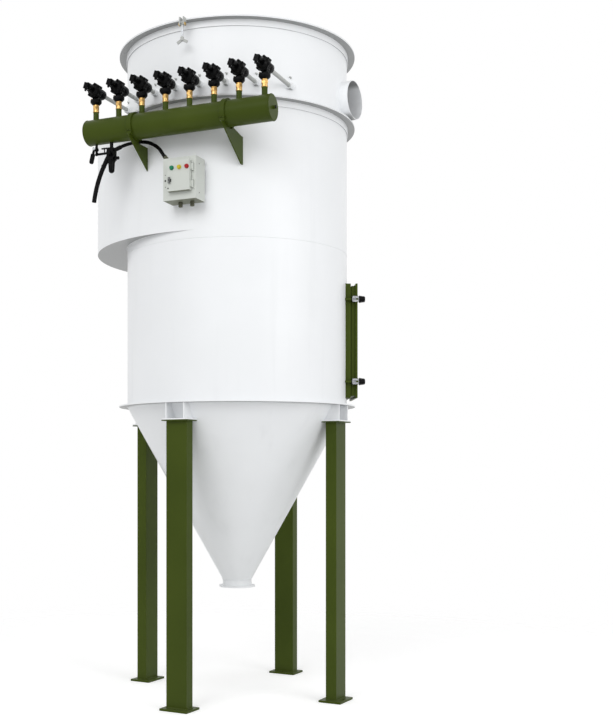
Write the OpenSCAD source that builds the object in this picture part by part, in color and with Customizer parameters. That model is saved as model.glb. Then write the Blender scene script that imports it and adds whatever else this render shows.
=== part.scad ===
// Reverse jet dust filter on four legs, in millimetres.
// The vessel axis is Z, the floor is z = 0, the control box looks along -Y.
// Angles called "bearing" are counted from the front (-Y) towards +X.

/* [Vessel] */
// Outside diameter of the vessel shell
shell_d = 1600; // [1500:10:1700]
// Plate thickness of shell, cone and scroll
plate_t = 4; // [3:0.5:6]
// Height of the bottom ring's underside above the floor
ring_z = 2065; // [2000:5:2150]
// Height of the body shell
body_h = 2001; // [1980:1:2060]
// Height of the seam between the two shell courses above the bottom ring
course_h = 1085; // [1000:5:1120]
// Height of the clean air plenum
plenum_h = 508; // [480:1:560]
// How far the bottom ring stands out from the shell
ring_reach = 60; // [50:1:80]
// Thickness of the bottom ring
ring_t = 10; // [8:1:14]

/* [Flanges and lid] */
// How far the flanges stand out from the shell
flange_reach = 57; // [50:1:62]
// Thickness of the flange plates
flange_t = 6; // [5:0.5:8]
// Height of the flange's leg that laps the shell
flange_drop = 40; // [30:1:50]
// Play between the lapped leg and the shell
lap_gap = 0.5; // [0.3:0.1:1]
// Thickness of the lid
lid_t = 6; // [4:0.5:8]
// Bearing of the lid clamp
clamp_bearing = 5; // [0:1:10]

/* [Hopper] */
// Outside diameter of the discharge collar
outlet_d = 210; // [190:5:230]
// Height of the hopper cone's lower end above the floor
cone_z = 812; // [780:1:850]
// Height of the discharge collar with its flange
collar_h = 54; // [45:1:70]
// Plate thickness of the collar
collar_t = 5; // [4:0.5:6]
// Outside diameter of the discharge flange
outlet_flange_d = 262; // [256:1:280]
// Bolt circle of the discharge flange
outlet_pcd = 236; // [234:1:238]
// Bolt hole diameter of the discharge flange
outlet_hole_d = 11; // [9:0.5:12]

/* [Legs] */
// Distance of each leg's centre from the vessel axis
leg_radius = 790; // [780:1:800]
// Width of the leg tube along the ring
leg_w = 160; // [150:5:180]
// Depth of the leg tube towards the axis
leg_d = 80; // [70:5:100]
// Wall of the leg tube
leg_t = 5; // [4:0.5:8]
// Width of the foot plate
foot_w = 215; // [200:5:240]
// Depth of the foot plate
foot_d = 165; // [150:5:180]
// Thickness of the foot plate
foot_t = 15; // [12:1:20]
// Diameter of the anchor holes
anchor_d = 18; // [14:1:22]
// Distance of the anchor holes from the middle of the foot
anchor_out = 60; // [58:1:62]
// Height of the top of the legs above the floor
leg_top_z = 1950; // [1930:1:1960]
// Width of the cap and lug plates
cap_w = 200; // [190:5:220]
// Depth of the cap and lug plates
cap_d = 140; // [130:5:150]
// Thickness of the cap and lug plates
cap_t = 8; // [6:1:12]
// Spacing of the two gussets on each lug
gusset_gap = 140; // [120:5:160]

/* [Scroll inlet] */
// Distance of the scroll's roof below the middle flange
scroll_drop = 72; // [60:1:90]
// Height of the scroll from floor to roof
scroll_h = 789; // [760:1:800]
// Offset of the scroll's centre from the vessel axis
scroll_offset = 305; // [295:5:320]
// How deep the scroll's circle bites into the shell's outline
scroll_bite = 5; // [4.5:0.5:8]
// Bearing where the scroll comes closest to the axis
scroll_bearing = 20; // [15:1:25]
// Bearing where the scroll's wall is welded to the shell
scroll_start = 4; // [3:0.5:5]
// Outside diameter of the inlet and outlet spigots
spigot_d = 268; // [250:2:280]
// Wall of the spigots
spigot_t = 4; // [3:0.5:5]
// Length of the inlet spigot
inlet_len = 110; // [80:5:140]

/* [Clean air outlet] */
// Distance of the outlet spigot's axis behind the vessel axis
outlet_back = 150; // [140:5:160]
// Distance of the outlet's rim from the vessel axis plane
outlet_rim_x = 870; // [865:1:890]
// Gap between the middle flange and the outlet spigot
outlet_gap = 4; // [2:1:10]

/* [Air header] */
// Turn of the whole air gear about the vessel axis
gear_yaw = 5; // [0:1:8]
// Distance of the header's axis from the vessel axis
header_v = 948; // [940:1:956]
// Height of the blow tubes above the plenum's lower end
tube_lift = 91; // [84:1:104]
// Outside diameter of the header
header_d = 168.3; // [160:0.1:170]
// Wall of the header
header_t = 5; // [4:0.5:6]
// Length of the header tube
header_len = 1350; // [1330:2:1370]
// Thickness of the header's end caps
header_cap_t = 6; // [5:1:10]
// Number of pulse valves
valve_n = 8; // [6:1:8]
// Spacing of the pulse valves
valve_pitch = 177.5; // [170:0.5:180]
// Diameter of the stub pipes
stub_d = 38; // [34:0.5:40]
// Height of the stub pipes above the header
stub_h = 50; // [45:1:60]
// Height of the brass unions
union_h = 50; // [45:1:55]
// Height of the valves' inlet nuts
inlet_nut_h = 36; // [32:1:40]
// Width of the valves' inlet nuts
inlet_nut_d = 74; // [68:1:76]
// Diameter of the valve covers without their bolt lobes
cover_d = 88; // [84:1:92]
// Number of bolt lobes round each valve cover
cover_bolts = 8; // [6:1:8]
// Diameter of the blow tubes
tube_d = 27; // [24:0.5:30]
// Wall of the blow tubes
tube_t = 2.5; // [2:0.5:3]
// Height of the blow tubes' axes above the inlet nuts
tube_rise = 56; // [54:1:60]
// Spacing of the two header brackets
bracket_gap = 680; // [660:5:700]
// Sideways shift of the bracket pair
bracket_shift = 22; // [10:1:30]
// Thickness of the bracket plates
bracket_t = 8; // [6:1:10]
// Height of the bracket plates at the wall
bracket_h = 185; // [170:5:200]
// Width of the straps over the header
strap_w = 33; // [25:1:40]
// Thickness of the straps
strap_t = 12; // [6:0.5:13]

/* [Control box] */
// Width of the control box
box_w = 240; // [235:1:250]
// Height of the control box
box_h = 279; // [270:1:290]
// Depth of the control box
box_d = 135; // [125:1:140]
// Plate thickness of the control box
box_t = 2; // [1.5:0.5:3]
// Distance of the control box's underside below the header's axis
box_drop = 517; // [510:1:525]
// Distance of the box's front from the vessel axis
box_v = 948; // [945:1:955]
// Sideways place of the box's middle
box_u = 14; // [5:1:20]
// Width of the box door
box_door_w = 162; // [156:1:166]
// Height of the box door
box_door_h = 200; // [190:1:206]
// Thickness of the box door
box_door_t = 30; // [20:1:32]
// Margin of the box door below the box's top
box_door_drop = 28; // [20:1:34]
// Sideways place of the box door's middle on the box
box_door_shift = 8; // [4:1:10]
// Running gap between door and box
door_gap = 5; // [5:0.5:7]
// Radius of the hinge pins
pin_r = 2.5; // [2:0.1:3]
// Play of a hinge pin in its barrel
pin_play = 0.5; // [0.3:0.1:0.8]

/* [Access door] */
// Bearing of the access door
access_bearing = 120; // [115:1:125]
// Height of the access frame's lower edge above the bottom ring
access_lift = 52; // [45:1:70]
// Height of the access frame
access_h = 820; // [800:5:840]
// Width of the access frame
access_w = 400; // [380:5:420]
// Width of the access frame's bars
access_bar = 40; // [30:1:50]
// Distance of the access frame's face from the vessel axis
access_face = 812; // [808:1:820]
// Thickness of the door's pan
pan_t = 29; // [25:1:35]
// Thickness of the door's rim plate
rim_t = 15; // [12:1:18]
// How far the pan stands in from the rim plate's edge
pan_inset = 15; // [12:1:20]
// Distance of the clamps from the frame's upper and lower ends
clamp_inset = 116; // [100:1:130]

/* [Hidden] */
$fn = 240;

paint_white = [0.95, 0.95, 0.96];
paint_green = [0.30, 0.36, 0.17];
box_grey = [0.75, 0.77, 0.73];
tube_grey = [0.78, 0.79, 0.78];
black = [0.07, 0.07, 0.08];
brass = [0.80, 0.62, 0.30];
steel = [0.75, 0.76, 0.77];

// A small overrun, so that cutting tools pass right through
over = 10;
// A length beyond every part of the filter
far = 3000;

shell_r = shell_d / 2;
bore_r = shell_r - plate_t;
flange_r = shell_r + flange_reach;
body_z = ring_z + ring_t;
course_z = body_z + course_h;
mid_z = body_z + body_h;
plenum_z = mid_z + 2 * flange_t;
top_z = plenum_z + plenum_h;
lid_z = top_z + flange_t;
outlet_r = outlet_d / 2;
collar_z = cone_z - collar_h;
outlet_flange_t = 12;
cone_t = plate_t + 0.6;
scroll_top = mid_z - scroll_drop;
scroll_z = scroll_top - scroll_h;
access_z = body_z + access_lift;
scroll_r = shell_r - scroll_bite + scroll_offset;
spigot_r = spigot_d / 2;
outlet_z = plenum_z + outlet_gap + spigot_r;
header_r = header_d / 2;
tube_z = plenum_z + tube_lift;
body_low_z = tube_z - tube_rise;
nut_z = body_low_z - inlet_nut_h;
union_z = nut_z - union_h;
stub_z = union_z - stub_h;
header_z = stub_z - header_r;
box_z = header_z - box_drop;
valve_us = [for (i = [0 : valve_n - 1]) (i - (valve_n - 1) / 2) * valve_pitch];
bracket_us = [for (s = [-1, 1]) s * bracket_gap / 2 + bracket_shift];

// A point at a bearing and a distance from the vessel axis
function at_bearing(r, b) = [r * sin(b), -r * cos(b)];
scroll_eye = at_bearing(scroll_offset, scroll_bearing + 180);

module ring(r_in, r_out, h) {
    difference() {
        cylinder(r = r_out, h = h);
        translate([0, 0, -over]) cylinder(r = r_in, h = h + 2 * over);
    }
}

// A ring with a leg that laps the shell below it
module angle_ring() {
    rotate_extrude() {
        translate([bore_r, 0]) square([flange_r - bore_r, flange_t]);
        translate([shell_r + lap_gap, -flange_drop]) square([flange_t, flange_drop]);
    }
}

module at_legs() {
    for (b = [0 : 90 : 270]) rotate([0, 0, b]) translate([0, -leg_radius, 0]) children();
}

module leg(b) {
    color(paint_green) rotate([0, 0, b]) translate([0, -leg_radius, foot_t])
        linear_extrude(leg_top_z - cap_t - foot_t) difference() {
            square([leg_w, leg_d], center = true);
            square([leg_w - 2 * leg_t, leg_d - 2 * leg_t], center = true);
        }
}

module foot_plates() {
    color(paint_green) at_legs() linear_extrude(foot_t) difference() {
        square([foot_w, foot_d], center = true);
        for (s = [-1, 1]) translate([0, s * anchor_out]) circle(d = anchor_d);
    }
}

module leg_caps() {
    color(paint_green) difference() {
        at_legs() translate([0, 0, leg_top_z - cap_t])
            linear_extrude(cap_t) square([cap_w, cap_d], center = true);
        hopper_outline();
    }
}

// The outside of the hopper as one solid, with its top at the bottom ring
module hopper_outline() {
    translate([0, 0, cone_z]) cylinder(r1 = outlet_r, r2 = shell_r, h = ring_z - cone_z);
}

// A plate on each leg with two gussets that carry the ring and the cone
module ring_lugs() {
    gusset_t = 8;
    gusset_in = 120;
    color(paint_white) difference() {
        at_legs() {
            translate([0, 0, leg_top_z]) linear_extrude(cap_t) square([cap_w, cap_d], center = true);
            for (s = [-1, 1]) translate([s * gusset_gap / 2 - gusset_t / 2, -cap_d / 2 + over, leg_top_z])
                cube([gusset_t, cap_d + gusset_in, ring_z - leg_top_z]);
        }
        hopper_outline();
        // the gussets end at the lug plate's inner edge or at the cone
        translate([0, 0, leg_top_z - over])
            cylinder(r = leg_radius - cap_d / 2 - over, h = ring_z - leg_top_z + 2 * over);
    }
}

module bottom_ring() {
    color(paint_white) translate([0, 0, ring_z]) ring(bore_r, shell_r + ring_reach, ring_t);
}

module hopper_cone() {
    color(paint_white) translate([0, 0, cone_z]) rotate_extrude()
        polygon([[outlet_r - collar_t, 0], [outlet_r, 0],
            [shell_r, ring_z - cone_z], [shell_r - cone_t, ring_z - cone_z]]);
}

module discharge_collar() {
    color(paint_white) translate([0, 0, collar_z]) difference() {
        union() {
            cylinder(r = outlet_r, h = collar_h);
            cylinder(d = outlet_flange_d, h = outlet_flange_t);
        }
        translate([0, 0, -over]) cylinder(r = outlet_r - collar_t, h = collar_h + 2 * over);
        for (i = [0 : 7]) rotate([0, 0, i * 45 + 22.5]) translate([outlet_pcd / 2, 0, -over])
            cylinder(d = outlet_hole_d, h = outlet_flange_t + 2 * over);
    }
}

// The way through the shell behind the access frame
module access_hole() {
    rotate([0, 0, access_bearing])
        translate([-access_w / 2 + access_bar, -far, access_z + access_bar])
            cube([access_w - 2 * access_bar, far, access_h - 2 * access_bar]);
}

module shell_lower_course() {
    color(paint_white) difference() {
        translate([0, 0, body_z]) ring(bore_r, shell_r, course_h);
        access_hole();
    }
}

// The upper course is open to the scroll over its left side
module shell_upper_course() {
    margin = 80;
    color(paint_white) difference() {
        translate([0, 0, course_z]) ring(bore_r, shell_r, body_h - course_h);
        translate([-far, -scroll_offset, scroll_z + margin])
            cube([far, 2 * scroll_offset, scroll_h - 2 * margin]);
    }
}

module lower_flange() {
    color(paint_white) translate([0, 0, mid_z]) angle_ring();
}

module upper_flange() {
    color(paint_white) translate([0, 0, mid_z + flange_t]) ring(bore_r, flange_r, flange_t);
}

module top_flange() {
    color(paint_white) translate([0, 0, top_z]) angle_ring();
}

module lid() {
    color(paint_white) translate([0, 0, lid_z]) cylinder(r = flange_r, h = lid_t);
}

// A cylinder that lies along +X at the outlet's axis
module outlet_bar(r, from, to) {
    translate([from, outlet_back, outlet_z]) rotate([0, 90, 0]) cylinder(r = r, h = to - from);
}

module gear() {
    rotate([0, 0, gear_yaw]) children();
}

// Children stand at u to the right, v outwards and z up, with their own Z outwards
module facing(u, v, z) {
    translate([u, -v, z]) rotate([90, 0, 0]) children();
}

tube_hole_play = 1;

module plenum_shell() {
    color(paint_white) difference() {
        translate([0, 0, plenum_z]) ring(bore_r, shell_r, plenum_h);
        outlet_bar(spigot_r - spigot_t, 0, far);
        gear() for (u = valve_us) facing(u, 0, tube_z)
            cylinder(d = tube_d + 2 * tube_hole_play, h = far);
    }
}

module outlet_spigot() {
    color(paint_white) difference() {
        outlet_bar(spigot_r, 0, outlet_rim_x);
        outlet_bar(spigot_r - spigot_t, -over, far);
        translate([0, 0, plenum_z - over]) cylinder(r = shell_r, h = plenum_h + 2 * over);
    }
}

// A swing bolt between two ears below the lid's edge, with a wing nut hanging down
module lid_clamp() {
    ear_t = 8;
    ear_gap = 20;
    ear_w = 44;
    ear_h = 46;
    ear_nose = 14;
    bolt_r = 6;
    bolt_len = 116;
    boss_r = 9;
    boss_out = 5;
    nut_r = 12;
    nut_h = 24;
    wing_len = 42;
    wing_h = 18;
    wing_t = 8;
    wing_droop = 28;
    pivot_v = flange_r + 22;
    pivot_z = top_z - 20;
    low_z = pivot_z - bolt_len;
    color(steel) rotate([0, 0, clamp_bearing]) {
        difference() {
            for (s = [-1, 1])
                translate([s * (ear_gap + ear_t) / 2 - ear_t / 2, -pivot_v - ear_nose, lid_z - ear_h])
                    cube([ear_t, ear_w + ear_nose, ear_h + lid_t]);
            translate([0, 0, top_z - ear_h - over]) cylinder(r = flange_r, h = far);
        }
        translate([-ear_gap / 2 - ear_t - boss_out, -pivot_v, pivot_z]) rotate([0, 90, 0])
            cylinder(r = boss_r, h = ear_gap + 2 * ear_t + 2 * boss_out);
        translate([0, -pivot_v, low_z]) cylinder(r = bolt_r, h = bolt_len);
        translate([0, -pivot_v, low_z - nut_h / 3]) cylinder(r = nut_r, h = nut_h);
        for (s = [0, 180]) translate([0, -pivot_v, low_z]) rotate([0, 0, s]) rotate([0, wing_droop, 0])
            translate([0, -wing_t / 2, -wing_h / 2]) cube([wing_len, wing_t, wing_h]);
    }
}

// Hinge behind the lid: a leaf on the lid, a barrel and a block on the flange
module lid_hinge() {
    leaf_w = 180;
    leaf_t = 8;
    leaf_len = 130;
    knuckle_r = 15;
    knuckle_out = 22;
    block_in = 30;
    knuckle_y = flange_r + knuckle_out;
    lid_top = lid_z + lid_t;
    color(paint_white) difference() {
        union() {
            translate([-leaf_w / 2, knuckle_y, lid_top + leaf_t / 2]) rotate([0, 90, 0])
                cylinder(r = knuckle_r, h = leaf_w);
            translate([-leaf_w / 2, knuckle_y - leaf_len, lid_top]) cube([leaf_w, leaf_len, leaf_t]);
            translate([-leaf_w / 2, flange_r - block_in, top_z - flange_drop])
                cube([leaf_w, block_in + knuckle_out - 2, lid_top + leaf_t / 2 - top_z + flange_drop]);
        }
        translate([0, 0, top_z - flange_drop - over])
            cylinder(r = flange_r, h = lid_top - top_z + flange_drop + over);
    }
}

// The part of the plan that the scroll sweeps through, from its start round the left to the back
module scroll_half() {
    linear_extrude(2 * far) polygon([[0, 0], at_bearing(far, scroll_start), at_bearing(far, -45),
        at_bearing(far, -90), at_bearing(far, -135), [0, far]]);
}

// The plan of the scroll as a prism, outside the shell
module scroll_prism(r, h) {
    intersection() {
        difference() {
            translate([scroll_eye.x, scroll_eye.y, 0]) cylinder(r = r, h = h);
            translate([0, 0, -over]) cylinder(r = shell_r, h = h + 2 * over);
        }
        scroll_half();
    }
}

module scroll_floor() {
    color(paint_white) translate([0, 0, scroll_z]) scroll_prism(scroll_r, plate_t);
}

module scroll_roof() {
    color(paint_white) translate([0, 0, scroll_top - plate_t]) scroll_prism(scroll_r, plate_t);
}

module scroll_wall() {
    wall_h = scroll_h - 2 * plate_t;
    color(paint_white) translate([0, 0, scroll_z + plate_t]) difference() {
        scroll_prism(scroll_r, wall_h);
        translate([scroll_eye.x, scroll_eye.y, -over])
            cylinder(r = scroll_r - plate_t, h = wall_h + 2 * over);
    }
}

// Middle of the scroll's open end, behind the shell
inlet_y = (shell_r + scroll_eye.y + scroll_r) / 2;
inlet_z = scroll_z + scroll_h / 2;

module inlet_bar(r, from, to) {
    translate([from, inlet_y, inlet_z]) rotate([0, 90, 0]) cylinder(r = r, h = to - from);
}

module scroll_end() {
    color(paint_white) difference() {
        intersection() {
            translate([0, 0, scroll_z + plate_t]) scroll_prism(scroll_r - plate_t, scroll_h - 2 * plate_t);
            translate([-plate_t, 0, 0]) cube([plate_t, far, far * 2]);
        }
        inlet_bar(spigot_r - spigot_t, -far, far);
    }
}

module inlet_spigot() {
    color(paint_white) difference() {
        inlet_bar(spigot_r, 0, inlet_len);
        inlet_bar(spigot_r - spigot_t, -over, inlet_len + over);
    }
}

// A cylinder that lies along the header's axis
module header_bar(r, from, to) {
    translate([from, -header_v, header_z]) rotate([0, 90, 0]) cylinder(r = r, h = to - from);
}

module header_tank() {
    color(paint_green) gear() difference() {
        header_bar(header_r, -header_len / 2, header_len / 2);
        header_bar(header_r - header_t, -header_len / 2 - over, header_len / 2 + over);
    }
}

module header_caps() {
    weld_step = 2;
    plug_r = 11;
    plug_len = 14;
    color(paint_green) gear() for (s = [-1, 1]) {
        inner = s * header_len / 2;
        outer = inner + s * header_cap_t;
        tip = outer + s * plug_len;
        header_bar(header_r - weld_step, min(inner, outer), max(inner, outer));
        header_bar(plug_r, min(outer, tip), max(outer, tip));
    }
}

module header_stubs() {
    color(paint_green) gear() difference() {
        for (u = valve_us) translate([u, -header_v, header_z]) cylinder(d = stub_d, h = header_r + stub_h);
        header_bar(header_r, -far, far);
    }
}

module brass_unions() {
    hex_h = 16;
    hex_drop = 10;
    sleeve_step = 1;
    hex_step = 8;
    foot_step = 5;
    foot_h = 6;
    color(brass) gear() for (u = valve_us) translate([u, -header_v, union_z]) {
        cylinder(d = stub_d + sleeve_step, h = union_h);
        cylinder(d = stub_d + foot_step, h = foot_h);
        translate([0, 0, union_h - hex_h - hex_drop]) cylinder(d = stub_d + hex_step, h = hex_h, $fn = 6);
    }
}

// Union nut of the valve's inlet: a tapered foot and a grip
module inlet_nuts() {
    foot_h = 14;
    foot_d = 46;
    color(black) gear() for (u = valve_us) translate([u, -header_v, nut_z]) {
        cylinder(d1 = foot_d, d2 = inlet_nut_d, h = foot_h);
        translate([0, 0, foot_h]) cylinder(d = inlet_nut_d, h = inlet_nut_h - foot_h);
    }
}

valve_flange_v = 2;
valve_flange_t = 14;
valve_bowl_len = 40;
outlet_nut_len = 42;
outlet_nut_r = 33;
lobe_r = 9;
lobe_turn = 34;
lobe_in = 1;
lobe_step = 1;
cover_v = header_v + valve_flange_v + valve_flange_t;

// A disc with bolt lobes round its rim
module lobed_disc(t, lobe_low, lobe_t) {
    cylinder(d = cover_d, h = t);
    for (i = [0 : cover_bolts - 1]) rotate([0, 0, lobe_turn + i * 360 / cover_bolts])
        translate([cover_d / 2 - lobe_in, 0, lobe_low]) cylinder(r = lobe_r, h = lobe_t);
}

// Right-angle valve: inlet from below, outlet towards the vessel, lobed diaphragm flange in front
module pulse_valves() {
    neck_r = 14;
    bowl_r = 30;
    lobe_back = 10;
    color(black) gear() for (u = valve_us) {
        translate([u, -header_v, body_low_z]) cylinder(r = neck_r, h = tube_rise);
        facing(u, header_v, tube_z) {
            translate([0, 0, -valve_bowl_len]) cylinder(r = bowl_r, h = valve_bowl_len + valve_flange_v);
            translate([0, 0, valve_flange_v])
                lobed_disc(valve_flange_t, -lobe_back, lobe_back + valve_flange_t - lobe_step);
            translate([0, 0, -valve_bowl_len - outlet_nut_len])
                cylinder(r = outlet_nut_r, h = outlet_nut_len);
        }
    }
}

cover_groove_h = 3;
cover_rim_h = 15;
cover_dome_h = 18;
cover_face_v = cover_v + cover_groove_h + cover_rim_h + cover_dome_h;

// Cover with a groove behind its lobed rim and a conical dome in front
module valve_covers() {
    groove_in = 5;
    dome_in = 8;
    dome_top_r = 22;
    color(black) gear() for (u = valve_us) facing(u, cover_v, tube_z) {
        cylinder(r = cover_d / 2 - groove_in, h = cover_groove_h);
        translate([0, 0, cover_groove_h]) lobed_disc(cover_rim_h, lobe_step, cover_rim_h);
        translate([0, 0, cover_groove_h + cover_rim_h])
            cylinder(r1 = cover_d / 2 - dome_in, r2 = dome_top_r, h = cover_dome_h);
    }
}

// Solenoid pilot above the middle of each cover, with its plug turned to the lower left
module solenoids() {
    lift = 12;
    neck_r = 16;
    neck_h = 12;
    coil_r = 20;
    coil_h = 46;
    plug = [32, 42, 30];
    plug_side = 6;
    plug_low = 6;
    plug_out = 12;
    plug_turn = -20;
    color(black) gear() for (u = valve_us) facing(u, cover_face_v, tube_z + lift) {
        cylinder(r = neck_r, h = neck_h);
        translate([0, 0, neck_h]) cylinder(r = coil_r, h = coil_h);
        rotate([0, 0, plug_turn]) translate([-plug.x / 2 - plug_side, -plug.y / 2 - plug_low,
            neck_h + coil_h + plug_out - plug.z]) cube(plug);
    }
}

// Blow tubes run from the valves through the plenum wall to its far side
module blow_tubes() {
    tube_start = header_v - valve_bowl_len - outlet_nut_len;
    color(tube_grey) gear() for (u = valve_us) difference() {
        facing(u, -far, tube_z) cylinder(d = tube_d, h = far + tube_start);
        facing(u, -far - over, tube_z) cylinder(d = tube_d - 2 * tube_t, h = far + tube_start + 2 * over);
        difference() {
            translate([-far, 0, tube_z - tube_d]) cube([2 * far, far + over, 2 * tube_d]);
            translate([0, 0, tube_z - 2 * tube_d]) cylinder(r = bore_r, h = 4 * tube_d);
        }
    }
}

module tube_bushes() {
    bush_r = 24;
    bush_len = 34;
    color(paint_white) gear() for (u = valve_us) difference() {
        facing(u, 0, tube_z) cylinder(r = bush_r, h = sqrt(shell_r * shell_r - u * u) + bush_len);
        facing(u, -over, tube_z) cylinder(d = tube_d, h = far);
        translate([0, 0, tube_z - 3 * bush_r]) cylinder(r = shell_r, h = 6 * bush_r);
    }
}

// Where the straps are bolted down, below the header's axis
ear_drop = 60;
ear_len = 30;
shelf_t = 6;
ear_v = header_v + sqrt(header_r * header_r - ear_drop * ear_drop);
tip_v = ear_v + ear_len;
saddle_v = header_v - header_r / 2;
shelf_z = header_z - ear_drop - shelf_t;
// How far the brackets' upper edges lie below the header's axis, at the saddle and at the wall
edge_drops = [[header_r + 14, header_r + 14], [58, 86]];

// Triangular plates that carry the header, cut to the shell and to the scroll's wall
module header_brackets() {
    foot_v = shell_r - 60;
    nose_h = 14;
    color(paint_green) difference() {
        gear() for (i = [0, 1]) {
            saddle_z = header_z - edge_drops[i][0];
            wall_z = header_z - edge_drops[i][1];
            translate([bracket_us[i] + bracket_t / 2, 0, 0]) rotate([90, 0, -90]) linear_extrude(bracket_t)
                polygon([[shell_r / 2, wall_z], [foot_v, wall_z], [saddle_v, saddle_z], [saddle_v, shelf_z],
                    [tip_v, shelf_z], [tip_v, shelf_z - nose_h], [foot_v, wall_z - bracket_h],
                    [shell_r / 2, wall_z - bracket_h]]);
            translate([bracket_us[i] - strap_w / 2, -tip_v, shelf_z])
                cube([strap_w, ear_len + over, shelf_t]);
        }
        gear() header_bar(header_r, -far, far);
        gear() intersection() {
            header_bar(header_r + strap_t, -far, far);
            translate([-far, -saddle_v, 0]) cube([2 * far, far, 2 * far]);
        }
        cylinder(r = shell_r, h = 2 * far);
        translate([0, 0, scroll_z]) scroll_prism(scroll_r, scroll_h);
    }
}

// Straps over the header, bolted to the bracket's shelf in front and welded to its saddle behind
module header_straps() {
    color(paint_green) gear() for (u = bracket_us) difference() {
        union() {
            header_bar(header_r + strap_t, u - strap_w / 2, u + strap_w / 2);
            translate([u - strap_w / 2, -tip_v, header_z - ear_drop])
                cube([strap_w, ear_len + over, strap_t]);
        }
        header_bar(header_r, u - strap_w, u + strap_w);
        translate([u - strap_w, -tip_v - over, header_z - ear_drop - header_d])
            cube([2 * strap_w, tip_v + over - saddle_v, header_d]);
    }
}

box_back_v = box_v - box_d;
box_door_u = box_u + box_door_shift - box_door_w / 2;
box_door_z = box_z + box_h - box_door_drop - box_door_h;
door_lap = 12;
low_gland_us = [box_u - 26, box_u + 61];

module control_box() {
    color(box_grey) gear() difference() {
        translate([box_u - box_w / 2, -box_v, box_z]) cube([box_w, box_d, box_h]);
        translate([box_u - box_w / 2 + box_t, -box_v + box_t, box_z + box_t])
            cube([box_w - 2 * box_t, box_d - 2 * box_t, box_h - 2 * box_t]);
        translate([box_door_u + door_lap, -box_v - over, box_door_z + door_lap])
            cube([box_door_w - 2 * door_lap, over + 2 * box_t, box_door_h - 2 * door_lap]);
    }
}

// Two bars behind the box, cut to the shell and to the scroll's wall
module box_rails() {
    rail_h = 30;
    rail_inset = 30;
    side_inset = 10;
    color(paint_white) difference() {
        gear() for (z = [box_z + rail_inset, box_z + box_h - rail_inset - rail_h])
            translate([box_u - box_w / 2 + side_inset, -box_back_v, z])
                cube([box_w - 2 * side_inset, shell_r / 4, rail_h]);
        cylinder(r = shell_r, h = 2 * far);
        translate([0, 0, scroll_z]) scroll_prism(scroll_r, scroll_h);
    }
}

barrel_r = 5;
box_pin_off = 13;
box_pin_u = box_door_u + box_door_w + box_pin_off;
box_pin_v = box_v + door_gap + barrel_r;
box_barrel_h = 40;
box_barrel_inset = 24;
box_barrel_zs = [box_door_z + box_barrel_inset,
    box_door_z + box_door_h - box_barrel_inset - box_barrel_h];
hinge_cheek = 8;
cheek_gap = 1;

// Cheeks above and below each barrel carry its pin
module box_hinges() {
    color(steel) gear() for (z = box_barrel_zs) {
        for (c = [z - hinge_cheek - cheek_gap, z + box_barrel_h + cheek_gap])
            translate([box_pin_u - barrel_r, -box_pin_v - barrel_r, c])
                cube([2 * barrel_r, box_pin_v + barrel_r - box_v, hinge_cheek]);
        translate([box_pin_u, -box_pin_v, z - hinge_cheek])
            cylinder(r = pin_r, h = box_barrel_h + 2 * hinge_cheek);
    }
}

module box_door() {
    web_t = 4;
    color(box_grey) gear() difference() {
        union() {
            translate([box_door_u, -box_v - door_gap - box_door_t, box_door_z])
                cube([box_door_w, box_door_t, box_door_h]);
            for (z = box_barrel_zs) {
                translate([box_pin_u, -box_pin_v, z]) cylinder(r = barrel_r, h = box_barrel_h);
                translate([box_pin_u - box_pin_off - web_t, -box_pin_v - web_t / 2, z])
                    cube([box_pin_off + web_t, web_t, box_barrel_h]);
            }
        }
        for (z = box_barrel_zs) translate([box_pin_u, -box_pin_v, z - over])
            cylinder(r = pin_r + pin_play, h = box_barrel_h + 2 * over);
    }
}

door_front_v = box_v + door_gap + box_door_t;

// Swing handle on its boss near the door's free edge, with a key screw near the corner
module box_lock() {
    lock_in = 19;
    lock_up = 0.355;
    boss_r = 11;
    boss_h = 5;
    handle = [14, 9, 40];
    key_r = 4;
    key_h = 3;
    key_in = 8;
    key_up = 20;
    lock_u = box_door_u + lock_in;
    lock_z = box_door_z + box_door_h * lock_up;
    color(steel) gear() {
        facing(lock_u, door_front_v, lock_z) cylinder(r = boss_r, h = boss_h);
        translate([lock_u - handle.x / 2, -door_front_v - boss_h - handle.y, lock_z - handle.z / 2])
            cube(handle);
        facing(box_door_u + key_in, door_front_v, box_door_z + key_up) cylinder(r = key_r, h = key_h);
    }
}

module pilot_light(i, tint) {
    light_gap = 55;
    light_drop = 48;
    light_shift = 9;
    bezel_r = 15;
    bezel_h = 4;
    lens_r = 12.5;
    lens_h = 13;
    lens_taper = 3;
    color(tint) gear() facing(box_door_u + box_door_w / 2 + light_shift + i * light_gap, door_front_v,
        box_door_z + box_door_h - light_drop) {
        cylinder(r = bezel_r, h = bezel_h);
        translate([0, 0, bezel_h]) cylinder(r1 = lens_r, r2 = lens_r - lens_taper, h = lens_h);
    }
}

module light_green() pilot_light(-1, [0.10, 0.55, 0.40]);
module light_yellow() pilot_light(0, [0.90, 0.80, 0.25]);
module light_red() pilot_light(1, [0.85, 0.10, 0.15]);

conduit_d = 24;

// Two glands in the floor of the box and a slanting socket on its roof for the conduit
module cable_glands() {
    low_r = 13;
    low_h = 34;
    hex_d = 34;
    hex_h = 10;
    wall = 2;
    socket_len = 60;
    color(box_grey) gear() {
        for (u = low_gland_us) translate([u, -box_v + box_d / 2, box_z - low_h]) {
            cylinder(r = low_r, h = low_h);
            translate([0, 0, low_h / 2]) cylinder(d = hex_d, h = hex_h, $fn = 6);
        }
        difference() {
            at_header() aimed(conduit_end, -conduit_rise) cylinder(d = conduit_d + 2 * wall, h = socket_len);
            translate([-far, -far, box_z + box_h - far]) cube([2 * far, 2 * far, far]);
        }
    }
}

// Children stand in the access door's frame: X along the door, -Y outwards
module at_access() {
    rotate([0, 0, access_bearing]) children();
}

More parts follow.
